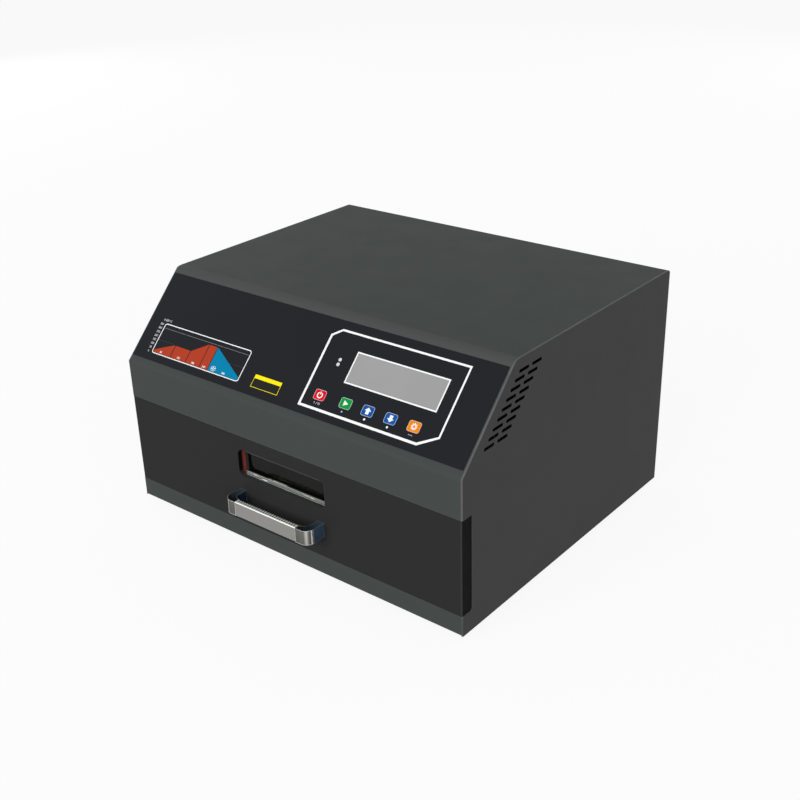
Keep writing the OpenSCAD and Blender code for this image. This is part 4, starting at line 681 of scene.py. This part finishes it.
ink("chart_frame", stroke(soft_rect(left(22.9), 14.1, left(131.4), 42.6, 2.4)[:-1], 0.82, True),
    "white")
ink("chart_guides", level(*GUIDE_X, GUIDE_V, 0.4), "grey", FIELD_INK)
ink("chart_level", level(GUIDE_X[0], 44.0, LEVEL_V, 0.3) + level(110.5, GUIDE_X[1], LEVEL_V, 0.3),
    "dim", FIELD_INK)
ink("chart_heat", [
    under_curve((46.1, 26.1), (44.6, 26.0), (24.4, 17.2)),
    under_curve((65.6, 26.2), (46.9, 26.2)),
    under_curve((83.2, 36.6), (82.2, 36.2), (67.2, 26.6), (66.4, 26.2)),
    under_curve((93.4, 36.7), (84.0, 36.6)),
], "ember", FIELD_INK)
ink("chart_cooling", [under_curve((130.4, 17.6), (94.2, 36.6))], "sky", FIELD_INK)
fan_blades = spokes(4, 0.35, ((0.3, 0), (1.4, -0.45), (2.1, -0.25), (2.15, 0.2), (1.4, 0.42)))
ink("chart_fan", moved(fan_blades + stroke(disc(0, 0, 2.8), 0.35, True),
                       left(FAN_PLACE[0]), FAN_PLACE[1], FAN_FLATTER), "white")
figures("chart_steps", [(str(seconds), left(x), STEP_V) for seconds, x in
                        ((60, 33.5), (120, 56.2), (180, 74.6), (240, 88.6), (300, 112.5))],
        "white", STEP_SIZE)
figures("chart_scale", [(str(350 - 50 * k), left(SCALE_X), SCALE_TOP - SCALE_PITCH * k)
                        for k in range(8)]
        + [("0-350 °C", left(UNIT_PLACE[0]), UNIT_PLACE[1])], "soft", SCALE_SIZE)


# ---------------------------------------------------------------- sticker and frames

# Blank two-tone sticker: a bar along its top, a line round the rest
STICKER_LEFT, STICKER_RIGHT = left(146.8), left(177.2)
STICKER_FOOT, STICKER_TOP, BAR_FOOT = 13.9, 25.2, 21.8
STICKER_R, LINE_W = 0.4, 0.4
LINE_LEFT, LINE_RIGHT = STICKER_LEFT + LINE_W / 2, STICKER_RIGHT - LINE_W / 2
LINE_FOOT = STICKER_FOOT + LINE_W / 2
LINE_TOP = BAR_FOOT + 0.1                # a little over the bar's edge
ink("sticker_ground", [soft_rect(STICKER_LEFT, STICKER_FOOT, STICKER_RIGHT, STICKER_TOP, STICKER_R)],
    "pitch", GROUND_INK)
ink("sticker_bar", [soft_rect(STICKER_LEFT, BAR_FOOT, STICKER_RIGHT, STICKER_TOP, STICKER_R)],
    "yellow", BAR_INK)
ink("sticker_rim", stroke([(LINE_LEFT, LINE_TOP), (LINE_LEFT, LINE_FOOT),
                           (LINE_RIGHT, LINE_FOOT), (LINE_RIGHT, LINE_TOP)], LINE_W),
    "yellow", BAR_INK)

# Frame round the controls, with two cut corners, and frame round the display
outer = from_left((201.1, 12.8), (321.6, 12.8), (338.4, 23.2), (338.4, 83.3), (210.6, 83.3),
                  (201.1, 76.5))
inner = from_left((203.2, 14.9), (320.9, 14.9), (336.8, 24.2), (336.8, 81.6), (211.1, 81.6),
                  (203.2, 75.7))
ink("control_frame", [(outer[i], outer[(i + 1) % 6], inner[(i + 1) % 6], inner[i])
                      for i in range(6)], "white")
display = from_left((234.9, 41.8), (325.3, 41.8), (325.3, 68.2), (234.9, 68.2))
ink("display_frame", stroke(display, 1.2, True), "white", GROUND_INK)


# ---------------------------------------------------------------- keys

POWER_X, START_X, KEY_PITCH = 218.3, 245.3, 22.67
KEY_V, MARK_V = 25.7, 18.7              # middles of the caps, and of the marks below them
RIM_HALF, RIM_CORNER = (5.5, 4.25), 1.8     # half width and half height of a cap's printed rim
CAP_TOP = OVERLAY_T + KEY_PROUD
key_x = {"power": left(POWER_X)}
for k, name in enumerate(("start", "up", "down", "set")):
    key_x[name] = left(START_X + KEY_PITCH * k)


def on_key(name, shapes):
    """A sign on a key's cap."""
    ink("sign_" + name, moved(shapes, key_x[name], KEY_V), "white", SIGN_INK, CAP_TOP,
        "key_%s_cap" % name)


def below_key(name, shapes):
    """A mark on the overlay below a key."""
    ink("mark_" + name, moved(shapes, key_x[name], MARK_V), "soft")


arrow = [(0, 2.9), (-3.2, 0.1), (-1.55, 0.1), (-1.55, -2.8), (1.55, -2.8), (1.55, 0.1), (3.2, 0.1)]
on_key("power", stroke(arc(0, -0.1, 2.35, 122, 418, 30), 0.95) + stroke([(0, 0.6), (0, 2.9)], 0.95))
on_key("start", [[(-1.9, -2.3), (2.7, 0), (-1.9, 2.3)]])
on_key("up", [arrow])
on_key("down", [[(x, -y) for x, y in arrow]])
on_key("set", stroke(disc(0, 0, 1.65), 0.95, True)
       + spokes(8, 0, ((1.9, -0.27), (2.9, -0.16), (2.9, 0.16), (1.9, 0.27))))

for name, x in key_x.items():
    edge = soft_rect(x - RIM_HALF[0], KEY_V - RIM_HALF[1], x + RIM_HALF[0], KEY_V + RIM_HALF[1],
                     RIM_CORNER)
    ink("rim_" + name, stroke(edge, 0.3, True), "soft", RIM_INK, CAP_TOP, "key_%s_cap" % name)

below_key("power", stroke([(-2.4, -0.9), (-2.4, 0.9)], 0.45)
          + stroke([(-0.5, -1.0), (0.5, 1.0)], 0.3) + stroke(disc(2.4, 0, 0.8), 0.4, True))
below_key("start", [[(-0.9, -0.9), (0.9, 0), (-0.9, 0.9)]])
ink("mark_arrows", [disc(key_x["up"], MARK_V, 0.95), disc(key_x["down"], MARK_V, 0.95)], "white")
below_key("set", [soft_rect(x - 0.35, -0.35, x + 0.35, 0.35, 0.2) for x in (-1.85, -0.3, 1.25)])


# ---------------------------------------------------------------- studio

FLOOR_HALF = 6.0      # metres from the middle to an edge of the floor
FLOOR_TONE = 0.42     # the floor as the oven's light meets it
FLOOR_PALER = 0.5     # how much paler the camera, mirrors and glass find it
FLOOR_GLOW = 0.9      # how far they see white light instead
ROOM_LIGHT = 0.42     # strength of the room's light on the oven
LAMP_AIM = (0, 0, 0.1)


def blank_tree(owner):
    """The emptied node tree of a material or world."""
    owner.use_nodes = True
    owner.node_tree.nodes.clear()
    return owner.node_tree


def maths(t, operation, first, second, third=0.0):
    n = t.nodes.new("ShaderNodeMath")
    n.operation = operation
    for socket, value in zip(n.inputs, (first, second, third)):
        if isinstance(value, bpy.types.NodeSocket):
            t.links.new(value, socket)
        else:
            socket.default_value = value
    return n.outputs[0]


def in_view(t):
    """1 for rays from the camera, off mirrors and through glass, 0 for diffuse light."""
    rays = t.nodes.new("ShaderNodeLightPath").outputs
    mirrored = maths(t, "MAXIMUM", rays["Is Camera Ray"], rays["Is Glossy Ray"])
    return maths(t, "MAXIMUM", mirrored, rays["Is Transmission Ray"])


def glowing(t, kind, strength):
    n = t.nodes.new(kind)
    n.inputs["Color"].default_value = WHITE
    n.inputs["Strength"].default_value = strength
    return n


def show_mix(t, output, factor, first, second):
    """Puts a mix of two shaders on the tree's output."""
    mix = t.nodes.new("ShaderNodeMixShader")
    for socket, value in zip(mix.inputs, (factor, first.outputs[0], second.outputs[0])):
        t.links.new(value, socket)
    t.links.new(mix.outputs[0], t.nodes.new(output).inputs["Surface"])


def floor_material():
    """Pale floor that keeps the shadow, and shows the camera and mirrors a near-white ground."""
    mat = bpy.data.materials.new("studio_floor")
    t = blank_tree(mat)
    seen = in_view(t)
    matte = t.nodes.new("ShaderNodeBsdfDiffuse")
    t.links.new(maths(t, "MULTIPLY_ADD", seen, FLOOR_PALER, FLOOR_TONE), matte.inputs["Color"])
    show_mix(t, "ShaderNodeOutputMaterial", maths(t, "MULTIPLY", seen, FLOOR_GLOW), matte,
             glowing(t, "ShaderNodeEmission", 1.0))
    return mat


corners = [(x * FLOOR_HALF, y * FLOOR_HALF, 0) for x, y in ((-1, -1), (1, -1), (1, 1), (-1, 1))]
floor_mesh = bpy.data.meshes.new("floor")
floor_mesh.from_pydata(corners, [], [(0, 1, 2, 3)])
floor_mesh.materials.append(floor_material())
floor = bpy.data.objects.new("floor", floor_mesh)
bpy.context.collection.objects.link(floor)

# The room is white to the camera and to mirrors, and dimmer as a light
world = bpy.data.worlds.new("studio")
bpy.context.scene.world = world
room = blank_tree(world)
show_mix(room, "ShaderNodeOutputWorld", in_view(room),
         glowing(room, "ShaderNodeBackground", ROOM_LIGHT),
         glowing(room, "ShaderNodeBackground", 1.0))


def softbox(name, place, size, watts):
    """A rectangular lamp that looks at the oven."""
    data = bpy.data.lights.new(name, "AREA")
    data.shape = "RECTANGLE"
    data.size, data.size_y = size
    data.energy = watts
    lamp = bpy.data.objects.new(name, data)
    lamp.location = place
    lamp.rotation_euler = (Vector(LAMP_AIM) - Vector(place)).to_track_quat("-Z", "Y").to_euler()
    bpy.context.collection.objects.link(lamp)


softbox("key_light", (-0.4, -4.3, 1.7), (3.4, 2.2), 144.0)
softbox("side_light", (2.7, -1.2, 0.9), (1.8, 1.4), 29.0)
softbox("back_light", (0.3, 2.6, 0.8), (2.0, 1.0), 12.0)
softbox("left_light", (-2.6, 0.7, 0.8), (1.6, 1.2), 14.0)

# The photograph's camera, fitted to the casing's straight edges: its place in millimetres in the
# part's frame, and the directions of its picture's right, down and depth
CAMERA_PLACE = Vector((616.64, -737.03, 557.99)) * MM
CAMERA_RIGHT = Vector((0.77894372, 0.62651992, -0.026823))
CAMERA_DOWN = Vector((0.25163749, -0.35146379, -0.90174929))
CAMERA_AHEAD = Vector((-0.57439121, 0.69566227, -0.43142642))
camera_data = bpy.data.cameras.new("camera")
camera_data.sensor_width = 36.0
camera_data.lens = 52.645
camera_data.clip_start = 0.01
camera = bpy.data.objects.new("camera", camera_data)
stand = Matrix((CAMERA_RIGHT, -CAMERA_DOWN, -CAMERA_AHEAD)).transposed().to_4x4()
stand.translation = CAMERA_PLACE
camera.matrix_world = stand
bpy.context.collection.objects.link(camera)
bpy.context.scene.camera = camera
bpy.context.scene.view_settings.view_transform = "Standard"
